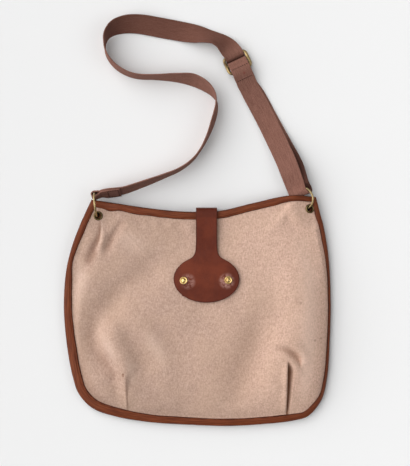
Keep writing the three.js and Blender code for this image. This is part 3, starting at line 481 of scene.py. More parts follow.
def put_piece(name, points, faces, finish, uv=None, replaced=(), shading_and_soil=None):
    """A named piece from points in millimetres and faces, with its finish, riding on the part's one body."""
    mesh = bpy.data.meshes.new(name)
    mesh.from_pydata((np.asarray(points) * MM).tolist(), [], [list(face) for face in faces])
    if uv is not None:
        corners = np.zeros(len(mesh.loops), np.int32)
        mesh.loops.foreach_get("vertex_index", corners)
        mesh.uv_layers.new(name="UVMap").data.foreach_set("uv", np.asarray(uv, np.float32)[corners].ravel())
    if shading_and_soil is not None:
        mesh.attributes.new("shading_and_soil", "FLOAT", "POINT").data.foreach_set("value", np.asarray(shading_and_soil, np.float32))
    mesh.polygons.foreach_set("use_smooth", np.full(len(mesh.polygons), True))
    mesh.materials.append(finish)
    mesh.update()
    piece = bpy.data.objects.new(name, mesh)
    bpy.context.scene.collection.objects.link(piece)
    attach(piece, "root")
    if replaced:
        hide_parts(*replaced)
    return piece


def grid_faces(rows, columns, ring_rows=False, ring_columns=False):
    """Faces of a grid of rows x columns points, closed round in either direction where asked."""
    index = np.arange(rows * columns).reshape(rows, columns)
    if ring_rows:
        index = np.vstack([index, index[:1]])
    if ring_columns:
        index = np.hstack([index, index[:, :1]])
    corners = [index[:-1, :-1], index[:-1, 1:], index[1:, 1:], index[1:, :-1]]
    return np.stack(corners, axis=-1).reshape(-1, 4)


def walled_grid(grid, kept, thickness):
    """A sheet with thickness from a grid of points: its points moved half of it to each side along their
    normals, which are the cross product of the differences along columns and rows, the faces that are kept,
    and a strip round every open border, which is where an edge belongs to one face only."""
    normals = unit(np.cross(np.gradient(grid, axis=1), np.gradient(grid, axis=0))).reshape(-1, 3)
    points = grid.reshape(-1, 3)
    faces = grid_faces(*grid.shape[:2])[kept]
    count = len(points)
    both = np.vstack([points + normals * thickness / 2, points - normals * thickness / 2])
    edges = np.stack([faces, np.roll(faces, -1, axis=1)], axis=-1).reshape(-1, 2)
    _, first, uses = np.unique(np.sort(edges, axis=1), axis=0, return_index=True, return_counts=True)
    a, b = edges[first[uses == 1]].T
    border = np.stack([b, a, a + count, b + count], axis=1)
    return both, np.vstack([faces, faces[:, ::-1] + count, border])


def tube(path, sides_u, sides_v, section, closed=False):
    """A section of (u, v) points carried along a path: each ring is the path's point plus u and v along its
    two side directions. Open ends are closed by one face each."""
    rings = path[:, None] + section[..., :1] * sides_u[:, None] + section[..., 1:] * sides_v[:, None]
    rows, columns = rings.shape[:2]
    faces = grid_faces(rows, columns, ring_rows=closed, ring_columns=True).tolist()
    if not closed:
        faces += [list(range(columns))[::-1], list(range((rows - 1) * columns, rows * columns))]
    return rings.reshape(-1, 3), faces


def turned(profile, steps):
    """A profile of (radius, height) turned round the Z axis. An end on the axis becomes one point with a fan
    of triangles, and a profile that closes on itself becomes a ring."""
    angle = np.linspace(0, 2 * np.pi, steps, endpoint=False)
    profile = np.asarray(profile, float)
    on_axis = profile[:, 0] < 1e-6
    body = profile[~on_axis]
    rings = np.stack([
        body[:, :1] * np.cos(angle), body[:, :1] * np.sin(angle), np.repeat(body[:, 1:], steps, axis=1)
    ], axis=-1)
    points = rings.reshape(-1, 3)
    rows = len(body)
    faces = grid_faces(rows, steps, ring_rows=not on_axis.any(), ring_columns=True).tolist()
    around = np.arange(steps)
    for row, end in ((0, 0), (rows - 1, -1)):
        if on_axis[end]:
            pole = np.full(steps, len(points))
            points = np.vstack([points, [0, 0, profile[end, 1]]])
            a, b = row * steps + around, row * steps + (around + 1) % steps
            faces += np.stack([b, a, pole] if row == 0 else [a, b, pole], axis=1).tolist()
    return points, faces


def placed(points, origin, along_x, along_y, along_z):
    """Points turned into three given directions and moved to an origin."""
    points = np.asarray(points)
    return origin + points[:, :1] * along_x + points[:, 1:2] * along_y + points[:, 2:] * along_z


def square_to(normal):
    """Two directions square to a normal and to each other, the second as near to +Y as can be."""
    along_x = unit(np.cross([0.0, 1.0, 0.0], normal))
    return along_x, np.cross(normal, along_x)


# Form of the bag


def bound_edge(points, count, roll):
    """A bound edge: places along it, the level direction out of the bag, and the edge itself, which the
    rolled binding draws in by its half thickness times the sine of the roll."""
    at = np.linspace(0, 1, count)
    p = curve_through(points, count)
    run = unit(np.gradient(p, axis=0))
    out = np.stack([run[:, 1], -run[:, 0]], axis=1)
    tilt = np.radians(roll(at))
    edge = p - out * (STACK_HALF * np.sin(tilt))[:, None]
    return {"at": at, "p": p, "out": out, "tilt": tilt, "edge": edge}


SEAM = bound_edge(SEAM_POINTS, SEAM_STEPS, lambda at: eased(SEAM_EDGE, at, "tilt"))
SEAM["front"] = SEAM["back"] = eased(SEAM_EDGE, SEAM["at"], "height")
SEAM["full"] = eased(SEAM_EDGE, SEAM["at"], "full")
SEAM["binding"] = eased(SEAM_EDGE, SEAM["at"], "binding")
MOUTH = bound_edge(MOUTH_POINTS, MOUTH_STEPS, np.zeros_like)
MOUTH["front"] = eased(MOUTH_EDGE, MOUTH["at"], "front")
MOUTH["back"] = eased(MOUTH_EDGE, MOUTH["at"], "back")
MOUTH["full"] = np.full(MOUTH_STEPS, float(MOUTH_FULL))
MOUTH["binding"] = eased(MOUTH_BINDING, MOUTH["at"], "width")


def pinched(x, y, height, side):
    """Heights drawn onto the plane of each eyelet: wholly within its flat, and less and less out to its
    reach. The plane falls away along the roll's heading by the tangent of its slope."""
    roll = heading(ROLL_HEADING)
    for ring in RINGS:
        dx, dy = x - ring["x"], y - ring["y"]
        hold = 1 - ease(PINCH["flat"], PINCH["reach"] + side * PINCH["spread"], np.hypot(dx, dy))
        slope = np.radians(ring["slope"])
        fall = (dx * roll[0] + dy * roll[1]) * np.tan(slope)
        plane = ring["z"] - fall + side * PANEL_OFFSET / np.cos(slope)
        height = height + (plane - height) * hold
    return height


def rim_height(points, line, layer, side):
    """Height of a bound edge's plane over level points: the height of the nearest place on the edge, plus
    the distance in from it times the tangent of its roll, plus the panel's own offset from the plane."""
    start, run = line["edge"][:-1], np.diff(line["edge"], axis=0)
    off = points[:, None] - start
    share = np.clip((off * run).sum(-1) / (run**2).sum(-1), 0, 1)
    nearest = np.linalg.norm(off - share[..., None] * run, axis=-1).argmin(axis=1)
    every = np.arange(len(points))
    t = share[every, nearest]
    inward = np.abs(run[nearest, 0] * off[every, nearest, 1] - run[nearest, 1] * off[every, nearest, 0])
    inward /= np.linalg.norm(run[nearest], axis=1)
    tilt, edge_height = (
        known[nearest] + (known[nearest + 1] - known[nearest]) * t for known in (line["tilt"], line[layer])
    )
    height = edge_height + inward * np.tan(tilt) + side * PANEL_OFFSET / np.cos(tilt)
    return pinched(points[:, 0], points[:, 1], height, side)


def rim(layer):
    """A panel's rim on rays from the bag's middle: for each ray its angle, the distance and height of the
    cloth inside the binding's edge, and those of the flange's inner end."""
    side = 1 if layer == "front" else -1
    parts = []
    for line, keep in ((SEAM, slice(None)), (MOUTH, slice(1, -1))):
        ray = line["edge"] - CENTRE
        reach = (ray * line["out"]).sum(axis=1)
        shift = side * PANEL_OFFSET * np.sin(line["tilt"])
        row = {"angle": np.arctan2(ray[:, 1], ray[:, 0]), "full": line["full"]}
        for name, inward in (("edge", EDGE_INSET), ("flange", FLANGE[layer])):
            share = 1 + (shift - inward * np.cos(line["tilt"])) / reach
            p = CENTRE + ray * share[:, None]
            row[name + "_p"] = p
            row[name + "_r"] = np.linalg.norm(p - CENTRE, axis=1)
            row[name + "_z"] = rim_height(p, line, layer, side)
        parts.append({key: value[keep] for key, value in row.items()})
    whole = {key: np.concatenate([part[key] for part in parts]) for key in parts[0]}
    whole["angle"] = np.unwrap(whole["angle"])
    return whole


RIMS = {layer: rim(layer) for layer in ("front", "back")}


def on_rays(x, y, layer):
    """For level points, the distance from the bag's middle, and the rim's values on each one's ray."""
    whole = RIMS[layer]
    first = whole["angle"][0]
    angle = first + np.mod(np.arctan2(y - CENTRE[1], x - CENTRE[0]) - first, 2 * np.pi)
    known = np.append(whole["angle"], first + 2 * np.pi)
    names = ("full", "edge_r", "edge_z", "flange_r", "flange_z")
    values = {name: np.interp(angle, known, np.append(whole[name], whole[name][0])) for name in names}
    return np.hypot(x - CENTRE[0], y - CENTRE[1]), values


def fold_rise(x, y, folds):
    """Rise of a list of folds: for each a bell curve of the distance to the nearest place on its smooth run,
    with the rise there and the half width of the side that the point lies on."""
    rise = np.zeros(np.shape(x))
    for rows in folds:
        run = spline(rows, np.linspace(0, len(rows) - 1, FOLD_STEPS * (len(rows) - 1) + 1), 2)
        ahead = np.gradient(run[:, :2], axis=0)
        dx, dy = x[..., None] - run[:, 0], y[..., None] - run[:, 1]
        near = (dx * dx + dy * dy).argmin(axis=-1)[..., None]
        dx, dy = (np.take_along_axis(side, near, -1)[..., 0] for side in (dx, dy))
        near = near[..., 0]
        far = np.hypot(dx, dy)
        leftward = (ahead[near, 0] * dy - ahead[near, 1] * dx) / np.linalg.norm(ahead[near], axis=-1)
        left_share = 0.5 + 0.5 * leftward / np.maximum(far, 1e-6)
        wide = run[near, 3] + (run[near, 2] - run[near, 3]) * ease(0, 1, left_share)
        rise += run[near, 4] * bell(far, wide)
    return rise


def dart(x, y):
    """The right dart at level points: its rise, and how far into its slit each point lies. Across its line a
    lip stands at the left, then comes a sudden drop to a floor that eases up again to the right. Drop and
    width run from their first value at the top to their last at the bottom."""
    (x0, y0), (x1, y1) = DART["top"], DART["bottom"]
    t = (y0 - y) / (y0 - y1)
    across = x - (x0 + (x1 - x0) * t)
    ends = ease(*DART["opens"], t) * (1 - ease(*DART["closes"], t))
    down = np.clip(t, 0, 1) ** DART["power"]
    deep, wide = (first + (last - first) * down for first, last in (DART["deep"], DART["wide"]))
    wide = wide * (DART["narrowest"] + (1 - DART["narrowest"]) * ease(*DART["widens"], t))
    step = ease(*DART["drop"], across)
    lip = DART["lip"] * bell(np.minimum(across, 0), DART["lip_width"]) * (1 - step)
    within = step * (1 - ease(*DART["ramp"], across / wide)) * ends
    return lip * ends - deep * within, within


def pucker(r, flange_r, angle):
    """Small puckers of the cloth where it meets the binding: noise along the rim times a bell curve of the
    distance in from it."""
    along = flange_r * angle
    noise = soft_noise(along, 0 * along, PUCKER["size"], PUCKER["seed"])
    return PUCKER["rise"] * noise * bell(flange_r - r, PUCKER["reach"])


def with_flange(r, rim_values, inside):
    """Heights inside the flange as given, and beyond it the flange's straight slope out to the edge."""
    flange_r, flange_z = rim_values["flange_r"], rim_values["flange_z"]
    out = np.clip((r - flange_r) / (rim_values["edge_r"] - flange_r), 0, 1)
    return np.where(r > flange_r, flange_z + (rim_values["edge_z"] - flange_z) * out, inside)


def front_height(x, y, fine=True):
    """Height of the front panel: inside the flange the rim's height plus the crown's share, which is one
    less the distance's share of the way to the rim to a power, with folds; beyond it the flange's slope."""
    r, rim_values = on_rays(x, y, "front")
    flange_r, flange_z = rim_values["flange_r"], rim_values["flange_z"]
    crown = MOUTH_CROWN + (CROWN - MOUTH_CROWN) * (1 - ease(CROWN_TO, CROWN_FROM, y))
    swell = 1 - np.clip(r / flange_r, 0, 1) ** rim_values["full"]
    inner, near_rim = np.minimum(1, INNER_RISE * swell), np.minimum(1, RIM_RISE * swell)
    height = flange_z + (crown - flange_z) * swell
    height = height + fold_rise(x, y, BROAD_FOLDS) * inner
    height = height + fold_rise(x, y, RIM_FOLDS) * near_rim
    if fine:
        ripple = sum(rise * soft_noise(x, y, size, seed) for rise, size, seed in RIPPLES)
        height = height + (fold_rise(x, y, FINE_FOLDS) + ripple) * inner
        height = height + dart(x, y)[0] * near_rim
        height = height + pucker(r, flange_r, np.arctan2(y - CENTRE[1], x - CENTRE[0])) * near_rim
    return with_flange(r, rim_values, pinched(x, y, height, 1))


def back_height(x, y):
    """Height of the back panel: flat on the floor, lifted over the tab's end, then turned up to the rim by a
    power of the share of the way from the flat to the flange."""
    r, rim_values = on_rays(x, y, "back")
    beside = 1 - ease(TAB_LIFT["near"], TAB_LIFT["far"], np.abs(x - TAB["x"]))
    flat = CANVAS / 2 + TAB_LIFT["rise"] * ease(TAB_LIFT["from"], TAB_LIFT["to"], y) * beside
    turn = np.clip((r / rim_values["flange_r"] - BACK_FLAT) / (1 - BACK_FLAT), 0, 1) ** BACK_TURN
    height = flat + (rim_values["flange_z"] - flat) * turn
    return with_flange(r, rim_values, pinched(x, y, height, -1))


# Canvas panels


def panel_grid(layer):
    """Level points of a panel, a patch between its bottom, its mouth and its two sides: the sum of the two
    straight blends between opposite sides less the blend of the four corners."""
    columns, rows = (crowded(*crowd) for crowd in PANEL_GRID[layer])
    whole = RIMS[layer]["edge_p"]
    seam, mouth = whole[:SEAM_STEPS], whole[SEAM_STEPS:]
    low_left, low_right = (np.linalg.norm(seam - corner, axis=1).argmin() for corner in BOTTOM_CORNERS)
    left, bottom, right = seam[: low_left + 1][::-1], seam[low_left : low_right + 1], seam[low_right:]
    top = np.vstack([seam[-1:], mouth, seam[:1]])[::-1]

    def along(line, at):
        """A side's points at shares of its length."""
        return read_along(evenly(line, SIDE_STEPS), np.linspace(0, 1, SIDE_STEPS), at)

    u, v = columns[None, :, None], rows[:, None, None]
    across = (1 - v) * along(bottom, columns)[None] + v * along(top, columns)[None]
    upward = (1 - u) * along(left, rows)[:, None] + u * along(right, rows)[:, None]
    low = (1 - u) * bottom[0] + u * bottom[-1]
    high = (1 - u) * top[0] + u * top[-1]
    return across + upward - ((1 - v) * low + v * high)


def opened(grid, places, hole):
    """Level points pushed out round each place, so that a hole opens there: within the reach a distance r
    becomes the root of the hole's square plus the share of r squared that is left."""
    for place in places:
        off = grid - place
        r = np.linalg.norm(off, axis=-1, keepdims=True)
        pushed = np.sqrt(hole**2 + np.minimum(r, HOLE_REACH) ** 2 * (1 - hole**2 / HOLE_REACH**2))
        grid = np.where(r < HOLE_REACH, grid - off + off / np.maximum(r, 1e-6) * pushed, grid)
    return grid


def front_shading_and_soil(x, y):
    """Painted shade and light of the front: shade in the dart's slit and in the troughs of fine and broad
    folds by their depth, and the dark and pale bands.
    """
    shading_and_soil = SLIT_SHADE * dart(x, y)[1]
    for folds, trough in ((FINE_FOLDS, FINE_TROUGH_SHADE), (BROAD_FOLDS, BROAD_TROUGH_SHADE)):
        shading_and_soil = shading_and_soil + trough["share"] * np.clip(-fold_rise(x, y, folds) / trough["depth"], 0, 1)
    return shading_and_soil + fold_rise(x, y, DARK_AND_PALE_BANDS)


def canvas_panel(layer, finish, height_at):
    """A canvas panel: a grid of level points given the panel's height, holed for the eyelets in front and for
    the rings' wires behind, with thickness. The back is painted dark as shade where the eyelets show it."""
    level = panel_grid(layer)
    places = [np.array([ring["x"], ring["y"]]) for ring in RINGS]
    if layer == "front":
        places = [place + EYELET["off"] for place in places]
    open_level = opened(level, places, HOLES[layer]["radius"])
    x, y = open_level[..., 0], open_level[..., 1]
    grid = np.stack([x, y, height_at(x, y)], axis=-1)
    middle = level.reshape(-1, 2)[grid_faces(*level.shape[:2])].mean(axis=1)
    far = [np.linalg.norm(middle - place, axis=1) for place in places]
    kept = np.min(far, axis=0) >= HOLES[layer]["middle"]
    points, faces = walled_grid(grid, kept, CANVAS)
    if layer == "front":
        shading_and_soil = front_shading_and_soil(x, y)
    else:
        shares = [np.hypot(x - place[0], y - place[1]) / EYELET_SHADE["radius"] for place in places]
        shading_and_soil = EYELET_SHADE["share"] * sum(np.exp(-(share**4)) for share in shares)
    return put_piece(layer + "_canvas", points, faces, finish, replaced=(layer + "_panel",),
                     shading_and_soil=np.tile(shading_and_soil.ravel(), 2))


# Leather bindings


def edge_frames(line, keep, layer, side):
    """Frames along a bound edge: its points in space, the direction in along the cloth, the direction out of
    its upper face, and the strip's width."""
    edge_level = line["edge"][keep]
    width = line["binding"][keep]
    inside_level = edge_level - line["out"][keep] * (width * np.cos(line["tilt"][keep]))[:, None]
    edge, inside = (
        np.column_stack([level, rim_height(level, line, layer, side)]) for level in (edge_level, inside_level)
    )
    inward = unit(inside - edge)
    face = unit(np.cross(inward, np.gradient(edge, axis=0)))
    return edge, inward, face, width


def folded_section(width, stack, under):
    """Section of a strip folded over an edge, as (u, v) points for each place along it: the upper leaf from
    its cut edge out to the round nose, the lower leaf back, and the inside of the fold. u runs in from the
    nose and v up. A leaf rests on the cloth at its cut edge, plumps up between by a power of a half sine, and
    dips along its line of stitches."""
    u = LEAF_PLACES
    dip = STRIP["dip"] * bell(u - STITCH_AT, STRIP["dip_width"])
    rounding = STRIP["rounding"] * (1 - ease(0, STRIP["rounded"], 1 - u))
    swell = STRIP["plump"] * np.sin(np.pi * np.clip(u, 0, 1)) ** STRIP["fullness"]
    leaf = BINDING_LEATHER + (stack - under) * ease(0, STRIP["seated"], 1 - u) + swell - dip - rounding
    nose = np.radians(np.linspace(STRIP["nose_turn"], -STRIP["nose_turn"], STRIP["nose_steps"]))
    top_u = width[:, None] * u
    top_v = under + np.broadcast_to(leaf, top_u.shape)
    reach = (stack + BINDING_LEATHER) * STRIP["nose_high"]
    nose_u = STRIP["nose_in"] + STRIP["nose_out"] * (1 - np.cos(nose))
    nose_u = np.broadcast_to(nose_u, (len(width), len(nose)))
    nose_v = np.broadcast_to(reach * np.sin(nose) / np.sin(nose[0]), nose_u.shape)
    inner_u = width[:, None] * INNER_PLACES
    inner_v = np.array([under, under + STRIP["inner_rise"] * (stack - under), stack - STRIP["inner_gap"]])
    inner_v = np.broadcast_to(inner_v, inner_u.shape)
    parts_u = [top_u, nose_u, top_u[:, ::-1], inner_u, inner_u[:, ::-1]]
    parts_v = [top_v, nose_v, -top_v[:, ::-1], -inner_v, inner_v[:, ::-1]]
    return np.stack([np.hstack(parts_u), np.hstack(parts_v)], axis=-1)


def binding(name, line, keep, layer, side, cloth_half, finish):
    """A leather strip folded over a bound edge of cloth with a half thickness: its section carried along the
    edge's frames, its width a little uneven, with the length along it and the share of its width as its
    texture's map. Returns its stitch line and the direction out of its face there."""
    edge, inward, face, width = edge_frames(line, keep, layer, side)
    stack, under = cloth_half + BINDING_ROOM, cloth_half + LEAF_ROOM
    run = lengths(edge)
    waves = enumerate(STRIP_WAVES, start=len(name))
    width = width * sum((share * soft_noise(run, 0 * run, size, seed) for seed, (share, size) in waves), 1.0)
    section = folded_section(width, stack, under)
    points, faces = tube(edge, inward, face, section)
    across = section[..., 0] / width[:, None]
    uv = np.stack(np.broadcast_arrays(run[:, None] * MM, across), axis=-1).reshape(-1, 2)
    put_piece(name, points, faces, finish, uv=uv,
              replaced=(name.replace("strip", "binding"),))
    height = under + BINDING_LEATHER + (stack - under) * ease(0, STRIP["seated"], 1 - STITCH_AT)
    seat = edge + inward * (width * STITCH_AT)[:, None] + face * (height + STRIP_STITCH["seat"])
    return seat, face


# Stitches


def stitch_rows(name, rows, finish, stitch):
    """Lines of thread: along each line a row of short spindles a pitch apart, each a few rings of points
    whose girth and sinking follow the spindle's table, laid along the line."""
    turn = np.linspace(0, 2 * np.pi, SPINDLE_SIDES, endpoint=False)
    pitch, thick = stitch["pitch"], stitch["thick"]
    girth = SPINDLE["girth"][:, None, None] * thick / 2
    lift = girth * np.sin(turn)[:, None] + (SPINDLE["sink"] * thick)[:, None, None]
    per = len(girth) * SPINDLE_SIDES
    sides = grid_faces(len(girth), SPINDLE_SIDES, ring_columns=True)
    rim_points = np.arange(SPINDLE_SIDES)
    caps = np.stack([rim_points[::-1], per - SPINDLE_SIDES + rim_points])
    all_points, all_faces, base = [], [], 0
    for line, face in rows:
        run = lengths(line)
        count = max(2, int(run[-1] / pitch))
        at = (np.arange(count) + 0.5) * run[-1] / count
        middle = read_along(line, run, at)
        up = unit(read_along(face, run, at))
        forward = unit(read_along(np.gradient(line, axis=0), run, at))
        sideways = unit(np.cross(forward, up))
        body = middle[:, None, None] + (SPINDLE["along"] * pitch)[:, None, None] * forward[:, None, None]
        body = body + girth * np.cos(turn)[:, None] * sideways[:, None, None]
        body = body + lift * up[:, None, None]
        starts = base + per * np.arange(count)
        for faces in (sides, caps):
            all_faces += (starts[:, None, None] + faces).reshape(-1, faces.shape[1]).tolist()
        all_points.append(body.reshape(-1, 3))
        base += per * count
    put_piece(name, np.vstack(all_points), all_faces, finish)


# Closure tab


def tab_half_width(y):
    """Half the tab's width above its oval's middle: the oval's half chord up to the join, then the neck plus
    a flare that falls off exponentially from the chord there, with the oval's own slope."""

    def half_chord(up):
        """Half the oval's width at a height over its middle, by the ellipse's root."""
        return TAB["wide"] * np.sqrt(np.clip(1 - (up / TAB["high"]) ** 2, 0, 1))

    join = TAB["join"] - TAB["y"]
    flare = half_chord(join) - TAB["neck"]
    slope = (TAB["wide"] / TAB["high"]) ** 2 * join / half_chord(join)
    above = np.maximum(y - TAB["join"], 0)
    neck = TAB["neck"] + flare * np.exp(-above * slope / flare)
    return np.where(y < TAB["join"], half_chord(y - TAB["y"]), neck)


def tab_height(x, y):
    """Height of the tab's middle over the front: the front's own without its fine folds, and a climb over
    the mouth's binding."""
    climb = TAB_CLIMB["rise"] * ease(TAB_CLIMB["from"], TAB_CLIMB["to"], y)
    return front_height(x, y, fine=False) + TAB_SEAT + climb


def tab_over_mouth(side_heights, u):
    """Rows of the tab over the mouth and down the back: its guide's smooth curve in height, as wide as the
    neck, with the sag of the last row in front dying out along the way."""
    top = float(tab_height(np.array(TAB["x"]), np.array(TAB_TOP_Y)))
    guide_y = np.concatenate([[TAB_TOP_Y - TAB_LEAD, TAB_TOP_Y], TAB_OVER_MOUTH["y"], TAB_DOWN_BACK["y"]])
    guide_z = np.concatenate([[top, top], top - TAB_OVER_MOUTH["drop"], TAB_DOWN_BACK["z"]])
    guide = np.column_stack([guide_y, guide_z])
    fine = spline(guide, np.linspace(1, len(guide) - 1, SIDE_STEPS), 2)
    bend = evenly(fine, TAB_GRID["over"])[1:]
    rows = np.stack(np.broadcast_arrays(TAB["x"] + TAB["neck"] * u, bend[:, :1], bend[:, 1:]), axis=-1)
    sag = (side_heights - top) * np.linspace(1, 0, len(rows))[:, None]
    rows[..., 2] += sag * (bend[:, 1:] > TAB_SAG_ABOVE)
    return rows


def closure_tab(finish):
    """The keyhole-shaped tab: below the oval's middle a square mapped onto a half ellipse, where x is u times
    the root of one less half v squared and y likewise; above it rows as wide as the tab; then the same rows
    over the mouth and down to the back. Its cut edges are rounded, and darkened by the distance to them."""
    even = np.linspace(-1, 1, TAB_GRID["across"])
    u = np.sin(even * np.pi / 2) * TAB_GRID["crowding"] + even * (1 - TAB_GRID["crowding"])
    v = -np.cos(np.linspace(0, np.pi / 2, TAB_GRID["oval"]))
    low_x = TAB["x"] + TAB["wide"] * u * np.sqrt(1 - v[:, None] ** 2 / 2)
    low_y = TAB["y"] + TAB["high"] * v[:, None] * np.sqrt(1 - u**2 / 2)
    rows_y = np.linspace(TAB["y"], TAB_TOP_Y, TAB_GRID["up"])[1:, None]
    high_x = TAB["x"] + tab_half_width(rows_y) * u
    high_y = np.broadcast_to(rows_y, high_x.shape)
    x, y = np.vstack([low_x, high_x]), np.vstack([low_y, high_y])
    front = np.stack([x, y, tab_height(x, y)], axis=-1)
    grid = np.vstack([front, tab_over_mouth(front[-1, :, 2], u)])
    points, faces = walled_grid(grid, slice(None), TAB_LEATHER)
    from_side = (1 - np.abs(u)) * np.ptp(grid[..., 0], axis=1)[:, None] / 2
    from_end = np.full(len(grid), TAB_EDGE["far"])
    from_end[: len(v)] = (1 + v) * TAB["high"] * TAB_EDGE["oval"]
    edge = 1 - ease(*TAB_EDGE["dark"], np.minimum(from_side, from_end[:, None]))
    bend = np.zeros(len(grid))
    bend[len(front) :] = TAB_EDGE["bend"]
    shading_and_soil = np.maximum(edge, bend[:, None]).ravel()
    piece = put_piece("closure_tab_leather", points, faces, finish, replaced=("closure_tab",),
                      shading_and_soil=np.tile(shading_and_soil, 2))
    bevel = piece.modifiers.new("cut_edge", "BEVEL")
    bevel.width = TAB_EDGE["rounding"] * MM
    bevel.segments = 2
    bevel.limit_method = "ANGLE"
    bevel.angle_limit = np.radians(TAB_EDGE["angle"])


def tab_frame(x, y):
    """Place and directions on the tab's upper face: its slope from heights a step to each side."""
    step = TAB_SLOPE_STEP

    def read(dx, dy):
        """The tab's height a step aside."""
        return float(tab_height(np.array(x + dx), np.array(y + dy)))

    normal = unit(np.array([read(-step, 0) - read(step, 0), read(0, -step) - read(0, step), 2 * step]))
    origin = np.array([x, y, read(0, 0)]) + normal * TAB_LEATHER / 2
    return origin, *square_to(normal), normal


def tab_stud(side, place, finish):
    """A brass stud: a turned head with a rounded rim, a groove and a low dome, on a post in the leather."""
    points, faces = turned(STUD_PROFILE, STUD_STEPS)
    points = placed(points, *tab_frame(*place))
    put_piece(f"tab_stud_{side}_brass", points, faces, finish, replaced=(f"tab_stud_{side}",))


# Eyelets and rings


def eyelet(ring, side, finish):
    """An eyelet: a barrel with a rolled collar on each face, turned round the line square to the panels. Each
    collar is a half circle from the hole to the flange, and the lower one is narrower."""
    roll, slope = heading(ROLL_HEADING), np.radians(ring["slope"])
    normal = roll * np.sin(slope) + UP * np.cos(slope)
    hole, flange = EYELET["hole"], EYELET["flange"]
    seat = BOTH_PANELS_HALF + EYELET["seat"]
    arc = np.radians(np.linspace(0, 180, EYELET["collar_steps"]))
    collar_r = (flange + hole) / 2 - (flange - hole) / 2 * np.cos(arc)
    collar = np.column_stack([collar_r, seat - EYELET["collar_sink"] + EYELET["collar_rise"] * np.sin(arc)])
    wall = np.array([(flange, seat), (hole, seat)]) + [EYELET["outer_wall"], EYELET["inner_wall"]]
    upper = np.vstack([collar, wall])
    lower = (upper * [1, -1])[::-1] - [[EYELET["narrow"], 0.0]]
    profile = np.vstack([upper, lower])[::-1]
    points, faces = turned(profile, EYELET["steps"])
    # Painted shade: the barrel's inside is marked to turn black, as the hole is dark.
    inside = 1 - ease(hole, hole + EYELET["dark_width"], profile[:, 0])
    inside = inside * (profile[:, 1] < seat + EYELET["dark_below"])
    off = np.array([*EYELET["off"], 0.0])
    drop = (off @ roll) * np.tan(slope)
    origin = np.array([ring["x"], ring["y"], ring["z"] - drop]) + off
    points = placed(points, origin, *square_to(normal), normal)
    put_piece(f"eyelet_{side}_brass", points, faces, finish, replaced=(f"eyelet_{side}",),
              shading_and_soil=np.repeat(inside, EYELET["steps"]))


def ring_frame(ring):
    """How a ring lies: the directions toward the strap, upward in its own plane and along its axis, its
    middle, the wire's place in the strap's loop with the direction out there, and the wire's run there."""
    toward = heading(ring["heading"])
    lean = np.radians(ring["lean"])
    upward = heading(ring["heading"] - 90) * np.sin(lean) + UP * np.cos(lean)
    half = np.sqrt(RING_RADIUS**2 - ring["rise"] ** 2)
    place = np.array([ring["x"], ring["y"], ring["z"]])
    middle = place + toward * half + upward * ring["rise"]
    loop = place + toward * 2 * half
    outward = unit(loop - middle)
    axis = np.cross(toward, upward)
    return {"toward": toward, "upward": upward, "axis": axis, "middle": middle, "loop": loop,
            "outward": outward, "wire": np.cross(axis, outward)}


def ring_piece(ring, side, finish):
    """A wire ring: a circle of wire turned about the ring's own axis."""
    angle = np.linspace(0, 2 * np.pi, RING_SIDES, endpoint=False)
    wire = np.column_stack([RING_RADIUS + RING_WIRE * np.cos(angle), RING_WIRE * np.sin(angle)])
    points, faces = turned(wire, RING_STEPS)
    lie = ring_frame(ring)
    points = placed(points, lie["middle"], lie["toward"], lie["upward"], lie["axis"])
    put_piece(f"ring_{side}_brass", points, faces, finish, replaced=(f"ring_{side}",))


# Strap


def leaned(run, degrees):
    """Direction across a strap that stands on edge, leaned to the left of its run by an angle."""
    run, lean = np.atleast_2d(run), np.radians(np.atleast_1d(degrees))[:, None]
    return unit(np.cross(UP, run)) * np.sin(lean) + UP * np.cos(lean)


def rest_height(degrees):
    """Height of a leaned strap's middle when its lower edge rests on the floor."""
    lean = np.radians(degrees)
    return STRAP_REST + WEBBING_WIDTH / 2 * np.abs(np.cos(lean)) + WEBBING / 2 * np.abs(np.sin(lean))


def stations(points, across, width):
    """Rows of a strap's path: its middle, its direction across and its width."""
    count = len(points)
    return np.column_stack([points, np.broadcast_to(across, (count, 3)), np.broadcast_to(width, count)])


def ring_loop(ring, away, across, skew):
    """The strap's turn round a ring's wire: a half circle from the face below the run to the one above it,
    its middle set in by the sag of the wire across the strap's width and its radius opened for the wire's
    slant, with a taper to the full width on each side."""
    lie = ring_frame(ring)
    face = np.cross(across, away)
    slant = ring["loop"] / 2 * abs(lie["wire"] @ face)
    sag = RING_RADIUS - np.sqrt(RING_RADIUS**2 - (ring["loop"] / 2) ** 2)
    drift = -sag * (lie["outward"] @ face)
    start = -sag * max(lie["outward"] @ away, 0)
    radius = abs(drift) / 2 + slant + RING_WIRE + CLEAR + WEBBING / 2

    def spot(along, off, side):
        """The wire's place plus lengths along the run, out of its face and across it."""
        return lie["loop"] + np.outer(along, away) + np.outer(off, face) + np.outer(side, across)

    def taper(sign, side):
        """Two rows that ease from the loop's half circle to the layers, above or below."""
        share = np.array([0.5, 1.0])
        wide = drift / 2 + sign * radius
        off = wide + (sign * PLY_OFFSET - wide) * ease(0, 1, share)
        width = ring["loop"] + (WEBBING_WIDTH - ring["loop"]) * 0.5 * share
        return stations(spot(start + LOOP["taper"] * share, off, np.full(2, side)), across, width)

    step = np.linspace(0, 1, LOOP["steps"] + 1)
    turn = np.radians(-90 - 180 * step)
    round_wire = spot(start + radius * np.cos(turn), drift / 2 + radius * np.sin(turn), skew * (1 - step))
    return np.vstack([taper(-1, skew)[::-1], stations(round_wire, across, ring["loop"]), taper(1, 0.0)])


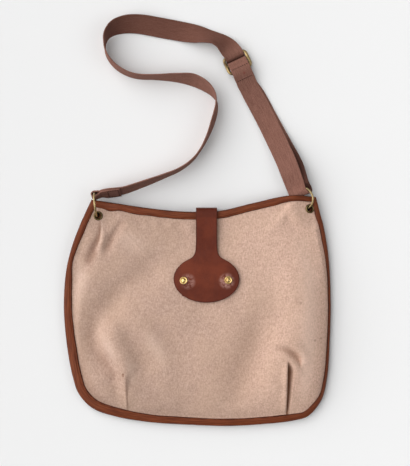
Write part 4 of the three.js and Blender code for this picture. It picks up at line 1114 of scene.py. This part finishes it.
def left_end():
    """The strap's sewn end: its tail, the turn round the left ring, and the start of the free run."""
    away = heading(LEFT_RUN["heading"])
    across = leaned(away, LEFT_RUN["lean"])[0]
    face = np.cross(across, away)

    def beside(along, off):
        """Rows of one layer beside the run's middle, at the height where it rests."""
        points = ring_frame(RINGS[0])["loop"] + np.outer(along, away) + off * face
        points[:, 2] = rest_height(LEFT_RUN["lean"]) + off * face[2]
        return stations(points, across, WEBBING_WIDTH)

    tail = beside([LEFT_RUN["tail"], LEFT_RUN["sewn_from"]], -PLY_OFFSET)
    main = beside([LEFT_RUN["sewn_from"], LEFT_RUN["end"]], PLY_OFFSET)
    return np.vstack([tail, ring_loop(RINGS[0], away, across, 0), main])


def free_run():
    """The strap's free length on the floor, each place at the height that its lean gives it, then its
    bend to the slider."""
    level = np.column_stack([STRAP_RUN["x"], STRAP_RUN["y"]])
    places, nudge = np.arange(len(level)), 0.01
    ahead = spline(level, np.minimum(places + nudge, places[-1]), 2)
    behind = spline(level, np.maximum(places - nudge, 0), 2)
    run = np.column_stack([ahead - behind, np.zeros(len(level))])
    points = np.column_stack([level, rest_height(STRAP_RUN["lean"])])
    level_run = stations(points, leaned(run, STRAP_RUN["lean"]), WEBBING_WIDTH)
    bend = np.column_stack([STRAP_BEND["x"], STRAP_BEND["y"], STRAP_BEND["z"]])
    bend_run = np.array([heading(degrees) for degrees in STRAP_BEND["heading"]])
    return np.vstack([level_run, stations(bend, leaned(bend_run, STRAP_BEND["lean"]), WEBBING_WIDTH)])


# Level direction of the doubled run, from the slider to the right ring
DOUBLED_RUN = unit(ring_frame(RINGS[1])["loop"] * [1, 1, 0] - SLIDER_PLACE)


def doubled_end():
    """The strap from the slider round the right ring and back to the slider's middle bar."""
    flat = leaned(DOUBLED_RUN, 90)[0]

    def spots(rows):
        """Places at a table's lengths along the doubled run and its heights."""
        return SLIDER_PLACE + np.outer(rows["along"], DOUBLED_RUN) + np.outer(rows["z"], UP)

    def layer(side):
        """One layer of the doubled run, half the gap above or below its middle."""
        across = leaned(np.tile(DOUBLED_RUN, (len(DOUBLE_RUN["along"]), 1)), DOUBLE_RUN["lean"])
        face = -np.cross(across, DOUBLED_RUN)
        aside = DOUBLE_RUN["side"] + DOUBLE_RUN["skew"] * (side < 0)
        points = spots(DOUBLE_RUN) + side * DOUBLE_RUN["gap"][:, None] / 2 * face + aside[:, None] * across
        return stations(points, across, WEBBING_WIDTH)

    loop = ring_loop(RINGS[1], -DOUBLED_RUN, leaned(DOUBLED_RUN, LOOP["lean"])[0], LOOP["skew"])
    woven_in, woven_back = (stations(spots(rows), flat, WEAVE_WIDTH) for rows in (WEAVE_IN, WEAVE_BACK))
    return np.vstack([woven_in, layer(-1), loop, layer(1)[::-1], woven_back])


def strap_frames():
    """The whole strap's path, cut fine: its points, its direction across and out of its face, its width, and
    how far on from the slider toward the right ring each point lies."""
    rows = np.vstack([left_end(), free_run(), doubled_end()])
    fine = spline(rows, np.linspace(0, len(rows) - 1, STRAP_FINENESS * (len(rows) - 1) + 1), 3)
    path, across, width = fine[:, :3], fine[:, 3:6], fine[:, 6]
    tangent = unit(np.gradient(path, axis=0))
    across = unit(across - tangent * (across * tangent).sum(axis=1, keepdims=True))
    return path, across, np.cross(tangent, across), width, (path - SLIDER_PLACE) @ DOUBLED_RUN


def strap_piece(finish):
    """The strap: a flat section with rounded and slightly thicker selvedges carried along its path, with the
    length along it and across it as its texture's map. Returns the piece and its length."""
    path, across, face, width, onward = strap_frames()
    share = np.concatenate([STRAP_SECTION["across"], -STRAP_SECTION["across"][-2::-1]])
    half = WEBBING / 2 * np.concatenate([STRAP_SECTION["thick"], STRAP_SECTION["thick"][-2::-1]])
    u = np.concatenate([share, share[::-1]])
    v = np.concatenate([half, -half[::-1]])
    section = np.stack(np.broadcast_arrays(width[:, None] / 2 * u, v[None]), axis=-1)
    points, faces = tube(path, across, face, section)
    run = lengths(path)
    uv = np.stack(np.broadcast_arrays(run[:, None], (u + 1)[None] * WEBBING_WIDTH / 2), axis=-1)
    # Painted shade on the lower layer: at the slider's slot and in the upper layer's shadow.
    before_turn = (np.arange(len(path)) < onward.argmax()) * (path[:, 0] > 0)
    slot_shade = STRAP_SHADE["share"] * bell(onward - STRAP_SHADE["at"], STRAP_SHADE["width"])
    dark = before_turn * (slot_shade + STRAP_SHADE["shade"] * ease(*STRAP_SHADE["shaded"], onward))
    piece = put_piece("strap_webbing", points, faces, finish, uv=uv.reshape(-1, 2) * MM,
                      replaced=("strap",), shading_and_soil=np.repeat(dark, len(u)))
    return piece, run[-1]


def strap_seams():
    """Lines of stitches on the strap: two across the layer sewn back at the slider, and a box on the tail
    sewn back at the left ring. Each is read off the strap's path at places along it and shares of its
    width."""
    path, across, face, _, onward = strap_frames()
    seat = WEBBING / 2 + STRAP_STITCH["seat"]

    def line(places, shares, side):
        """A line of stitches: the path plus shares of the half width, on one face."""
        aside = across[places] * shares[:, None] * WEBBING_WIDTH / 2
        outward = face[places] * side
        return path[places] + aside + outward * seat, outward

    def across_at(place, share, side):
        """A line of stitches straight across the strap at one place."""
        return line(np.full(STITCHED_STEPS, place), np.linspace(-share, share, STITCHED_STEPS), side)

    turn = onward.argmax()
    to_bar = turn + onward[turn:].argmin()
    rows = []
    for along in STITCHED_AT:
        place = turn + np.abs(onward[turn:to_bar] - along).argmin()
        rows.append(across_at(place, STITCHED_SHARE, np.sign(face[place] @ UP)))
    run = lengths(path)
    near, far = (np.abs(run - length).argmin() for length in TAIL_BOX)
    side = -np.sign(face[near, 1])
    places = np.arange(near, far + 1)
    for share in (-TAIL_SHARE, TAIL_SHARE):
        rows.append(line(places, np.full(len(places), share), side))
    for place in (near, far):
        rows.append(across_at(place, TAIL_SHARE, side))
    return rows


def slider_piece(finish):
    """The slider: a round wire bent to a rectangle with round corners, and a straight bar across its middle,
    both a flattened circle carried along a path."""
    half, high, corner = SLIDER["half"], SLIDER["pitch"], SLIDER["corner"]
    quarter = np.radians(np.linspace(0, 90, SLIDER["corner_steps"]))
    arc = np.column_stack([np.cos(quarter), np.sin(quarter)]) * corner
    turns = [np.array([[c, -s], [s, c]]) for c, s in ((1, 0), (0, 1), (-1, 0), (0, -1))]
    middles = np.array([(1, 1), (-1, 1), (-1, -1), (1, -1)]) * [half - corner, high - corner]
    outline = np.vstack([middle + arc @ turn.T for middle, turn in zip(middles, turns)])
    outline = evenly(np.vstack([outline, outline[:1]]), SLIDER["steps"] + 1)[:-1]
    path = np.column_stack([outline, np.zeros(len(outline))])
    tangent = unit(np.roll(path, -1, axis=0) - np.roll(path, 1, axis=0))
    angle = np.linspace(0, 2 * np.pi, SLIDER["sides"], endpoint=False)
    wire = SLIDER["wire"] * np.column_stack([np.cos(angle), SLIDER["flat"] * np.sin(angle)])
    sides, ups = np.cross(tangent, UP), np.broadcast_to(UP, path.shape)
    points, faces = tube(path, sides, ups, wire[None], closed=True)
    bar = np.linspace(-half, half, SLIDER["bar_steps"])[:, None] * [1.0, 0.0, 0.0]
    sides, ups = np.broadcast_to([0.0, -1.0, 0.0], bar.shape), np.broadcast_to(UP, bar.shape)
    bar_points, bar_faces = tube(bar, sides, ups, wire[None] * SLIDER["bar"])
    faces = faces + [[i + len(points) for i in face] for face in bar_faces]
    points = np.vstack([points, bar_points])
    origin = SLIDER_PLACE + UP * SLIDER["z"]
    points = placed(points, origin, np.cross(DOUBLED_RUN, UP), DOUBLED_RUN, UP)
    put_piece("slider_brass", points, faces, finish, replaced=("slider",))


# Finishes


def colour(red, green, blue):
    """Linear colour from 0 to 255 display values."""
    value = np.array([red, green, blue]) / 255
    linear = np.where(value <= 0.04045, value / 12.92, ((value + 0.055) / 1.055) ** 2.4)
    return (*linear, 1.0)


class Finish:
    """A node material with one main shader, built up by short calls."""

    def __init__(self, name):
        """An empty material with its shader and its coordinates."""
        self.material = bpy.data.materials.new(name)
        self.material.use_nodes = True
        self.tree = self.material.node_tree
        self.shader = self.tree.nodes["Principled BSDF"]
        self.coords = self.tree.nodes.new("ShaderNodeTexCoord")

    def fill(self, socket, value):
        """A socket given a value, or linked to another node's output."""
        if isinstance(value, bpy.types.NodeSocket):
            self.tree.links.new(value, socket)
        else:
            socket.default_value = value

    def node(self, kind, inputs, output=0, **settings):
        """A node with its settings and inputs. Returns one of its outputs."""
        made = self.tree.nodes.new(kind)
        for key, value in settings.items():
            setattr(made, key, value)
        for key, value in inputs.items():
            self.fill(made.inputs[key], value)
        return made.outputs[output]

    def set(self, **values):
        """Sockets of the main shader, named with underscores for spaces."""
        for key, value in values.items():
            self.fill(self.shader.inputs[key.replace("_", " ")], value)

    def shading_and_soil(self):
        """The piece's own painted shade and light, and soil, worked out with its shape."""
        return self.node("ShaderNodeAttribute", {}, output=2, attribute_name="shading_and_soil")

    def mapped(self, scale, source="Object", turn=0.0):
        """Coordinates times a scale for each direction, turned about Z."""
        inputs = {"Vector": self.coords.outputs[source], "Scale": scale, "Rotation": (0, 0, turn)}
        return self.node("ShaderNodeMapping", inputs)

    def along(self, direction, source="Object"):
        """One of the coordinates, 0 for X and 1 for Y."""
        return self.node("ShaderNodeSeparateXYZ", {0: self.coords.outputs[source]}, output=direction)

    def noise(self, scale, detail=3.0, rough=0.55, source="Object"):
        """Noise of one scale, or of one scale for each direction."""
        scale = (scale, scale, scale) if np.isscalar(scale) else scale
        inputs = {"Vector": self.mapped(scale, source), "Scale": 1.0, "Detail": detail, "Roughness": rough}
        return self.node("ShaderNodeTexNoise", inputs)

    def ribs(self, period, axis, source, turn=0.0, wander=0.0):
        """Rounded ribs a period apart in metres, across one axis."""
        inputs = {"Vector": self.mapped((1, 1, 1), source, turn), "Scale": WAVE_LENGTH / period,
                  "Distortion": wander, "Detail": 1.0, "Detail Scale": 2.0}
        return self.node("ShaderNodeTexWave", inputs, output=1, bands_direction=axis)

    def maths(self, operation, a, b, clamp=False):
        """One operation on two numbers."""
        return self.node("ShaderNodeMath", {0: a, 1: b}, operation=operation, use_clamp=clamp)

    def times(self, a, b, clamp=False):
        """Two numbers multiplied."""
        return self.maths("MULTIPLY", a, b, clamp)

    def blend(self, *parts):
        """A sum of (number, share) pairs, each number times its share."""
        total = self.times(*parts[0])
        for number, share in parts[1:]:
            total = self.maths("ADD", total, self.times(number, share))
        return total

    def spread(self, value, low, high, to_low=0.0, to_high=1.0):
        """A number moved smoothly from one range to another."""
        inputs = {"Value": value, "From Min": low, "From Max": high, "To Min": to_low, "To Max": to_high}
        return self.node("ShaderNodeMapRange", inputs, interpolation_type="SMOOTHSTEP")

    def mix(self, share, a, b, way="MIX"):
        """Two colours mixed by a share."""
        return self.node("ShaderNodeMix", {0: share, 6: a, 7: b}, output=2, data_type="RGBA", blend_type=way)

    def spot(self, place, radius, soft, stretch=(1, 1, 0)):
        """1 within a radius of a place on the floor plan in millimetres, and 0 a soft width outside it."""
        shift = tuple(-c * MM * s for c, s in zip((*place, 0.0), stretch))
        inputs = {"Vector": self.coords.outputs["Object"], "Location": shift, "Scale": stretch}
        moved = self.node("ShaderNodeMapping", inputs)
        far = self.node("ShaderNodeVectorMath", {0: moved}, output=1, operation="LENGTH")
        return self.spread(far, radius * MM, (radius + soft) * MM, 1.0, 0.0)

    def bump(self, height, depth, strength, under=None):
        """Small relief of a depth in metres, on top of other relief."""
        inputs = {"Strength": strength, "Distance": depth, "Height": height}
        if under is not None:
            inputs["Normal"] = under
        return self.node("ShaderNodeBump", inputs)

    def leather_relief(self, pore, crease):
        """Leather's relief: small pores from cells and longer soft creases from noise."""
        inputs = {"Vector": self.mapped((1, 1, 1)), "Scale": pore}
        cells = self.node("ShaderNodeTexVoronoi", inputs, feature="SMOOTH_F1")
        return self.bump(self.noise(crease, 4.0, 0.6), 0.0007, 0.35, self.bump(cells, 0.00012, 0.5))


def canvas_finish():
    """Heathered canvas: two thread colours mixed by fine streaks up and across the cloth, painted lighter to
    the right where more light falls, soiled in soft patches, painted dark as shade in its creases and holes
    and pale as light on its ridges, with the weave's relief."""
    look = Finish("canvas")
    upright = look.noise((1400, 230, 300), 2.0, 0.6)
    level = look.noise((230, 1400, 300), 2.0, 0.6)
    speck = look.noise(420, 2.0, 0.7)
    heather = look.blend((upright, 0.42), (level, 0.24), (speck, 0.34))
    tone = look.mix(look.spread(heather, 0.36, 0.64), colour(158, 129, 114), colour(194, 165, 149))
    mottle = look.spread(look.noise(130, 3.0, 0.6), 0.36, 0.66)
    tone = look.mix(look.times(mottle, 0.1), tone, colour(166, 132, 115))
    # Painted light: the cloth is made lighter to the right, where more light falls on it.
    drift = look.maths("ADD", look.along(0), look.times(look.noise(7, 3.0, 0.6), 0.14))
    tone = look.mix(look.spread(drift, -0.02, 0.2), tone, (1.36, 1.34, 1.33, 1.0), "MULTIPLY")
    warm = look.spread(look.noise(26, 3.0, 0.6), 0.38, 0.64)
    tone = look.mix(look.times(warm, 0.16), tone, colour(198, 167, 142))
    patch = look.spread(look.noise((24, 9, 10), 3.0, 0.6), 0.42, 0.7)
    tone = look.mix(look.times(patch, 0.14), tone, colour(176, 147, 124))
    for x, y, radius, soft, strength in zip(*CANVAS_STAINS.values()):
        tone = look.mix(look.times(look.spot((x, y), radius, soft), strength), tone, colour(104, 68, 46))
    warp = look.ribs(0.00095, "X", "Object", wander=0.6)
    weft = look.ribs(0.00105, "Y", "Object", wander=0.6)
    weave = look.times(warp, weft)
    tone = look.mix(look.times(weave, 0.1), tone, colour(232, 206, 188))
    # Painted light and shade from the piece's attribute: pale below 0 on lit ridges and slopes, brown above 0
    # in creases, the dart's slit and the darker bands, near black where deepest, in the eyelets' holes.
    shading_and_soil = look.shading_and_soil()
    tone = look.mix(look.spread(shading_and_soil, 0.0, -1.0, 0.0, 0.5), tone, colour(236, 208, 191))
    tone = look.mix(look.times(shading_and_soil, 0.8, clamp=True), tone, colour(104, 62, 36))
    tone = look.mix(look.spread(shading_and_soil, 1.5, 1.9), tone, colour(18, 12, 9))
    relief = look.bump(heather, 0.0001, 0.5, look.bump(weave, 0.00007, 0.7))
    look.set(Base_Color=tone, Roughness=0.95, Specular_IOR_Level=0.1, Normal=relief)
    return look.material


def binding_finish():
    """Orange-brown strip leather: streaked along its length, dark along its cut edge and its nose, partly
    burnished and partly painted shade where the nose turns down and where the strip meets the cloth, rubbed
    paler between."""
    look = Finish("binding_leather")
    streak = look.spread(look.noise((40, 9, 1), 4.0, 0.65, "UV"), 0.34, 0.68)
    tone = look.mix(streak, colour(86, 38, 18), colour(124, 64, 35))
    mottle = look.spread(look.noise(60, 4.0, 0.6), 0.4, 0.72)
    tone = look.mix(look.times(mottle, 0.45), tone, colour(112, 54, 32))
    pale = look.spread(look.noise((90, 14, 1), 3.0, 0.7, "UV"), 0.58, 0.8)
    tone = look.mix(look.times(pale, 0.4), tone, colour(164, 102, 68))
    # Dark cut edge and nose: partly burnished, partly painted shade of the turned-down nose and of the
    # strip's meeting with the cloth.
    wander = look.maths("ADD", look.along(1, "UV"), look.spread(look.noise(140, 2.0), 0.3, 0.7, -0.05, 0.05))
    edge = look.maths("MAXIMUM", look.spread(wander, 0.86, 1.0), look.spread(wander, 0.22, 0.02))
    tone = look.mix(look.times(edge, 0.85), tone, colour(62, 26, 14))
    rough = look.spread(mottle, 0.0, 1.0, 0.5, 0.64)
    relief = look.leather_relief(1100, 260)
    look.set(Base_Color=tone, Roughness=rough, Specular_IOR_Level=0.16, Normal=relief)
    return look.material


def tab_finish():
    """Smooth reddish leather: deep and even, darker at its cut edge, rubbed pale and grey round the studs."""
    look = Finish("tab_leather")
    mottle = look.spread(look.noise(30, 5.0, 0.6), 0.34, 0.7)
    tone = look.mix(mottle, colour(88, 35, 20), colour(110, 49, 30))
    fine = look.spread(look.noise((150, 60, 100), 3.0, 0.65), 0.45, 0.75)
    tone = look.mix(look.times(fine, 0.35), tone, colour(86, 40, 30))
    blot = look.spread(look.noise(170, 4.0, 0.75), 0.36, 0.6)
    for (x, y), strength, shift in zip(STUDS, (0.7, 1.0), (5, -2)):
        rubbed = look.times(look.spot((x + shift, y - 0.8), 4.5, 7), blot)
        tone = look.mix(look.times(rubbed, strength), tone, colour(172, 130, 120))
    tone = look.mix(look.times(look.shading_and_soil(), 0.6), tone, colour(54, 20, 12))
    rough = look.spread(mottle, 0.0, 1.0, 0.44, 0.56)
    relief = look.leather_relief(1500, 190)
    look.set(Base_Color=tone, Roughness=rough, Specular_IOR_Level=0.14, Normal=relief)
    return look.material


def webbing_finish():
    """Cotton webbing: fine slanted ribs over lengthwise yarns, flecked and worn, with a deeper tone in the
    upper bend, one small spot, and painted shade where the piece marks it."""
    look = Finish("webbing")
    ribs = look.ribs(0.0013, "X", "UV", turn=np.radians(38), wander=0.5)
    warp = look.ribs(0.0012, "Y", "UV", wander=0.3)
    streak = look.noise((70, 1100, 1), 3.0, 0.6, "UV")
    fleck = look.noise((420, 1100, 1), 3.0, 0.6, "UV")
    yarn = look.blend((streak, 0.55), (fleck, 0.45))
    tone = look.mix(look.spread(yarn, 0.38, 0.64), colour(104, 69, 58), colour(138, 98, 86))
    tone = look.mix(look.times(ribs, 0.3), tone, colour(150, 108, 95))
    worn = look.spread(look.noise(22, 4.0, 0.6), 0.42, 0.72)
    tone = look.mix(look.times(worn, 0.25), tone, colour(146, 102, 87))
    deep = look.spot((-32, 356), 42, 26, (0.6, 1.6, 0))
    tone = look.mix(look.times(deep, 0.55), tone, colour(86, 51, 41))
    # Painted shade where the strap's attribute marks it: the slider's slot and the upper layer's shadow.
    tone = look.mix(look.times(look.shading_and_soil(), 0.8, clamp=True), tone, colour(48, 22, 16))
    tone = look.mix(look.times(look.spot((59, 301), 0.8, 2), 0.5), tone, colour(120, 58, 48))
    relief = look.bump(look.blend((ribs, 0.65), (warp, 0.35)), 0.00012, 0.8)
    look.set(Base_Color=tone, Roughness=0.9, Specular_IOR_Level=0.12, Normal=relief)
    return look.material


def brass_finish(name, bright, dull, polish):
    """Brass: bright metal with dull tarnish in soft patches and fine scratches, painted black as shade where
    the piece marks it, inside the eyelets.
    """
    look = Finish(name)
    tarnish = look.spread(look.noise(120, 5.0, 0.65), 0.4, 0.68)
    tone = look.mix(tarnish, bright, dull)
    # Painted shade: black where the piece marks it, inside the eyelets' barrels.
    tone = look.mix(look.shading_and_soil(), tone, colour(16, 11, 8))
    rough = look.spread(tarnish, 0.0, 1.0, polish, polish + 0.22)
    scratch = look.noise((900, 120, 900), 2.0, 0.6)
    look.set(Base_Color=tone, Metallic=1.0, Roughness=rough, Normal=look.bump(scratch, 0.00003, 0.3))
    return look.material


def thread_finish(name, dark, light):
    """Sewing thread: two close tones in short twists."""
    look = Finish(name)
    twist = look.spread(look.noise(1500, 2.0, 0.6), 0.4, 0.6)
    look.set(Base_Color=look.mix(twist, dark, light), Roughness=0.8, Specular_IOR_Level=0.25)
    return look.material


# Setting


def floor():
    """A wide level floor of plain pale paper."""
    mesh = bpy.data.meshes.new("floor")
    corners = FLOOR_HALF * np.array([(-1, -1, 0), (1, -1, 0), (1, 1, 0), (-1, 1, 0)])
    mesh.from_pydata(corners.tolist(), [], [(0, 1, 2, 3)])
    look = Finish("floor_paper")
    look.set(Base_Color=colour(234, 234, 234), Roughness=0.9, Specular_IOR_Level=0.1)
    mesh.materials.append(look.material)
    made = bpy.data.objects.new("floor", mesh)
    bpy.context.scene.collection.objects.link(made)


def lamp(name, kind, place, target, size, power):
    """A soft light at a place in metres, facing a target: a square of a size, or a far one of an angle."""
    data = bpy.data.lights.new(name, kind)
    if kind == "SUN":
        data.angle = np.radians(size)
    else:
        data.size = size
    data.energy = power
    made = bpy.data.objects.new(name, data)
    back = unit(np.array(place) - np.array(target))
    side = unit(np.cross(UP, back))
    turn = np.eye(4)
    turn[:3, :3] = np.column_stack([side, np.cross(back, side), back])
    turn[:3, 3] = place
    made.matrix_world = Matrix(turn.tolist())
    bpy.context.scene.collection.objects.link(made)


def studio():
    """Soft light from the upper left, a wide fill all round, and a camera straight above."""
    scene = bpy.context.scene
    world = bpy.data.worlds.new("studio")
    world.use_nodes = True
    sky = world.node_tree.nodes["Background"]
    sky.inputs["Color"].default_value = (1.0, 1.0, 1.0, 1.0)
    sky.inputs["Strength"].default_value = SKY_STRENGTH
    scene.world = world
    for light in LIGHTS:
        lamp(**light)
    scene.view_settings.view_transform = "Standard"
    data = bpy.data.cameras.new("camera")
    data.sensor_fit = "VERTICAL"
    data.sensor_height = SENSOR_HEIGHT
    data.lens = SENSOR_HEIGHT * CAMERA_HEIGHT / FRAME_HEIGHT
    camera = bpy.data.objects.new("camera", data)
    camera.location = (FRAME_MIDDLE[0] * MM, FRAME_MIDDLE[1] * MM, CAMERA_HEIGHT * MM)
    scene.collection.objects.link(camera)
    scene.camera = camera


# Assembly

canvas = canvas_finish()
strip_leather = binding_finish()
tab_leather = tab_finish()
webbing = webbing_finish()
brass = brass_finish("brass", colour(226, 196, 134), colour(166, 132, 78), 0.22)
worn_brass = brass_finish("worn_brass", colour(186, 164, 120), colour(92, 74, 50), 0.38)
old_brass = brass_finish("old_brass", colour(122, 106, 72), colour(70, 58, 38), 0.32)
dark_brass = brass_finish("dark_brass", colour(176, 152, 108), colour(66, 46, 32), 0.4)
dark_thread = thread_finish("dark_thread", colour(50, 25, 20), colour(72, 40, 34))
brown_thread = thread_finish("brown_thread", colour(84, 46, 32), colour(118, 70, 50))

floor()
studio()

front = canvas_panel("front", canvas, front_height)
back = canvas_panel("back", canvas, back_height)

from_corners = [np.linalg.norm(MOUTH["p"] - MOUTH["p"][end], axis=1) for end in (0, -1)]
mouth_keep = np.minimum(*from_corners) > MOUTH_CORNER
strip_lines = [
    binding("seam_strip", SEAM, slice(None), "front", 0, BOTH_PANELS_HALF, strip_leather),
    binding("front_mouth_strip", MOUTH, mouth_keep, "front", 1, CANVAS / 2, strip_leather),
    binding("back_mouth_strip", MOUTH, mouth_keep, "back", -1, CANVAS / 2, strip_leather),
]
stitch_rows("binding_stitches", strip_lines, brown_thread, STRIP_STITCH)

closure_tab(tab_leather)
for side, place in zip(("left", "right"), STUDS):
    tab_stud(side, place, brass)
for side, ring in zip(("left", "right"), RINGS):
    eyelet(ring, side, old_brass)
    ring_piece(ring, side, worn_brass)

strap, strap_length = strap_piece(webbing)
stitch_rows("strap_stitches", strap_seams(), dark_thread, STRAP_STITCH)
slider_piece(dark_brass)
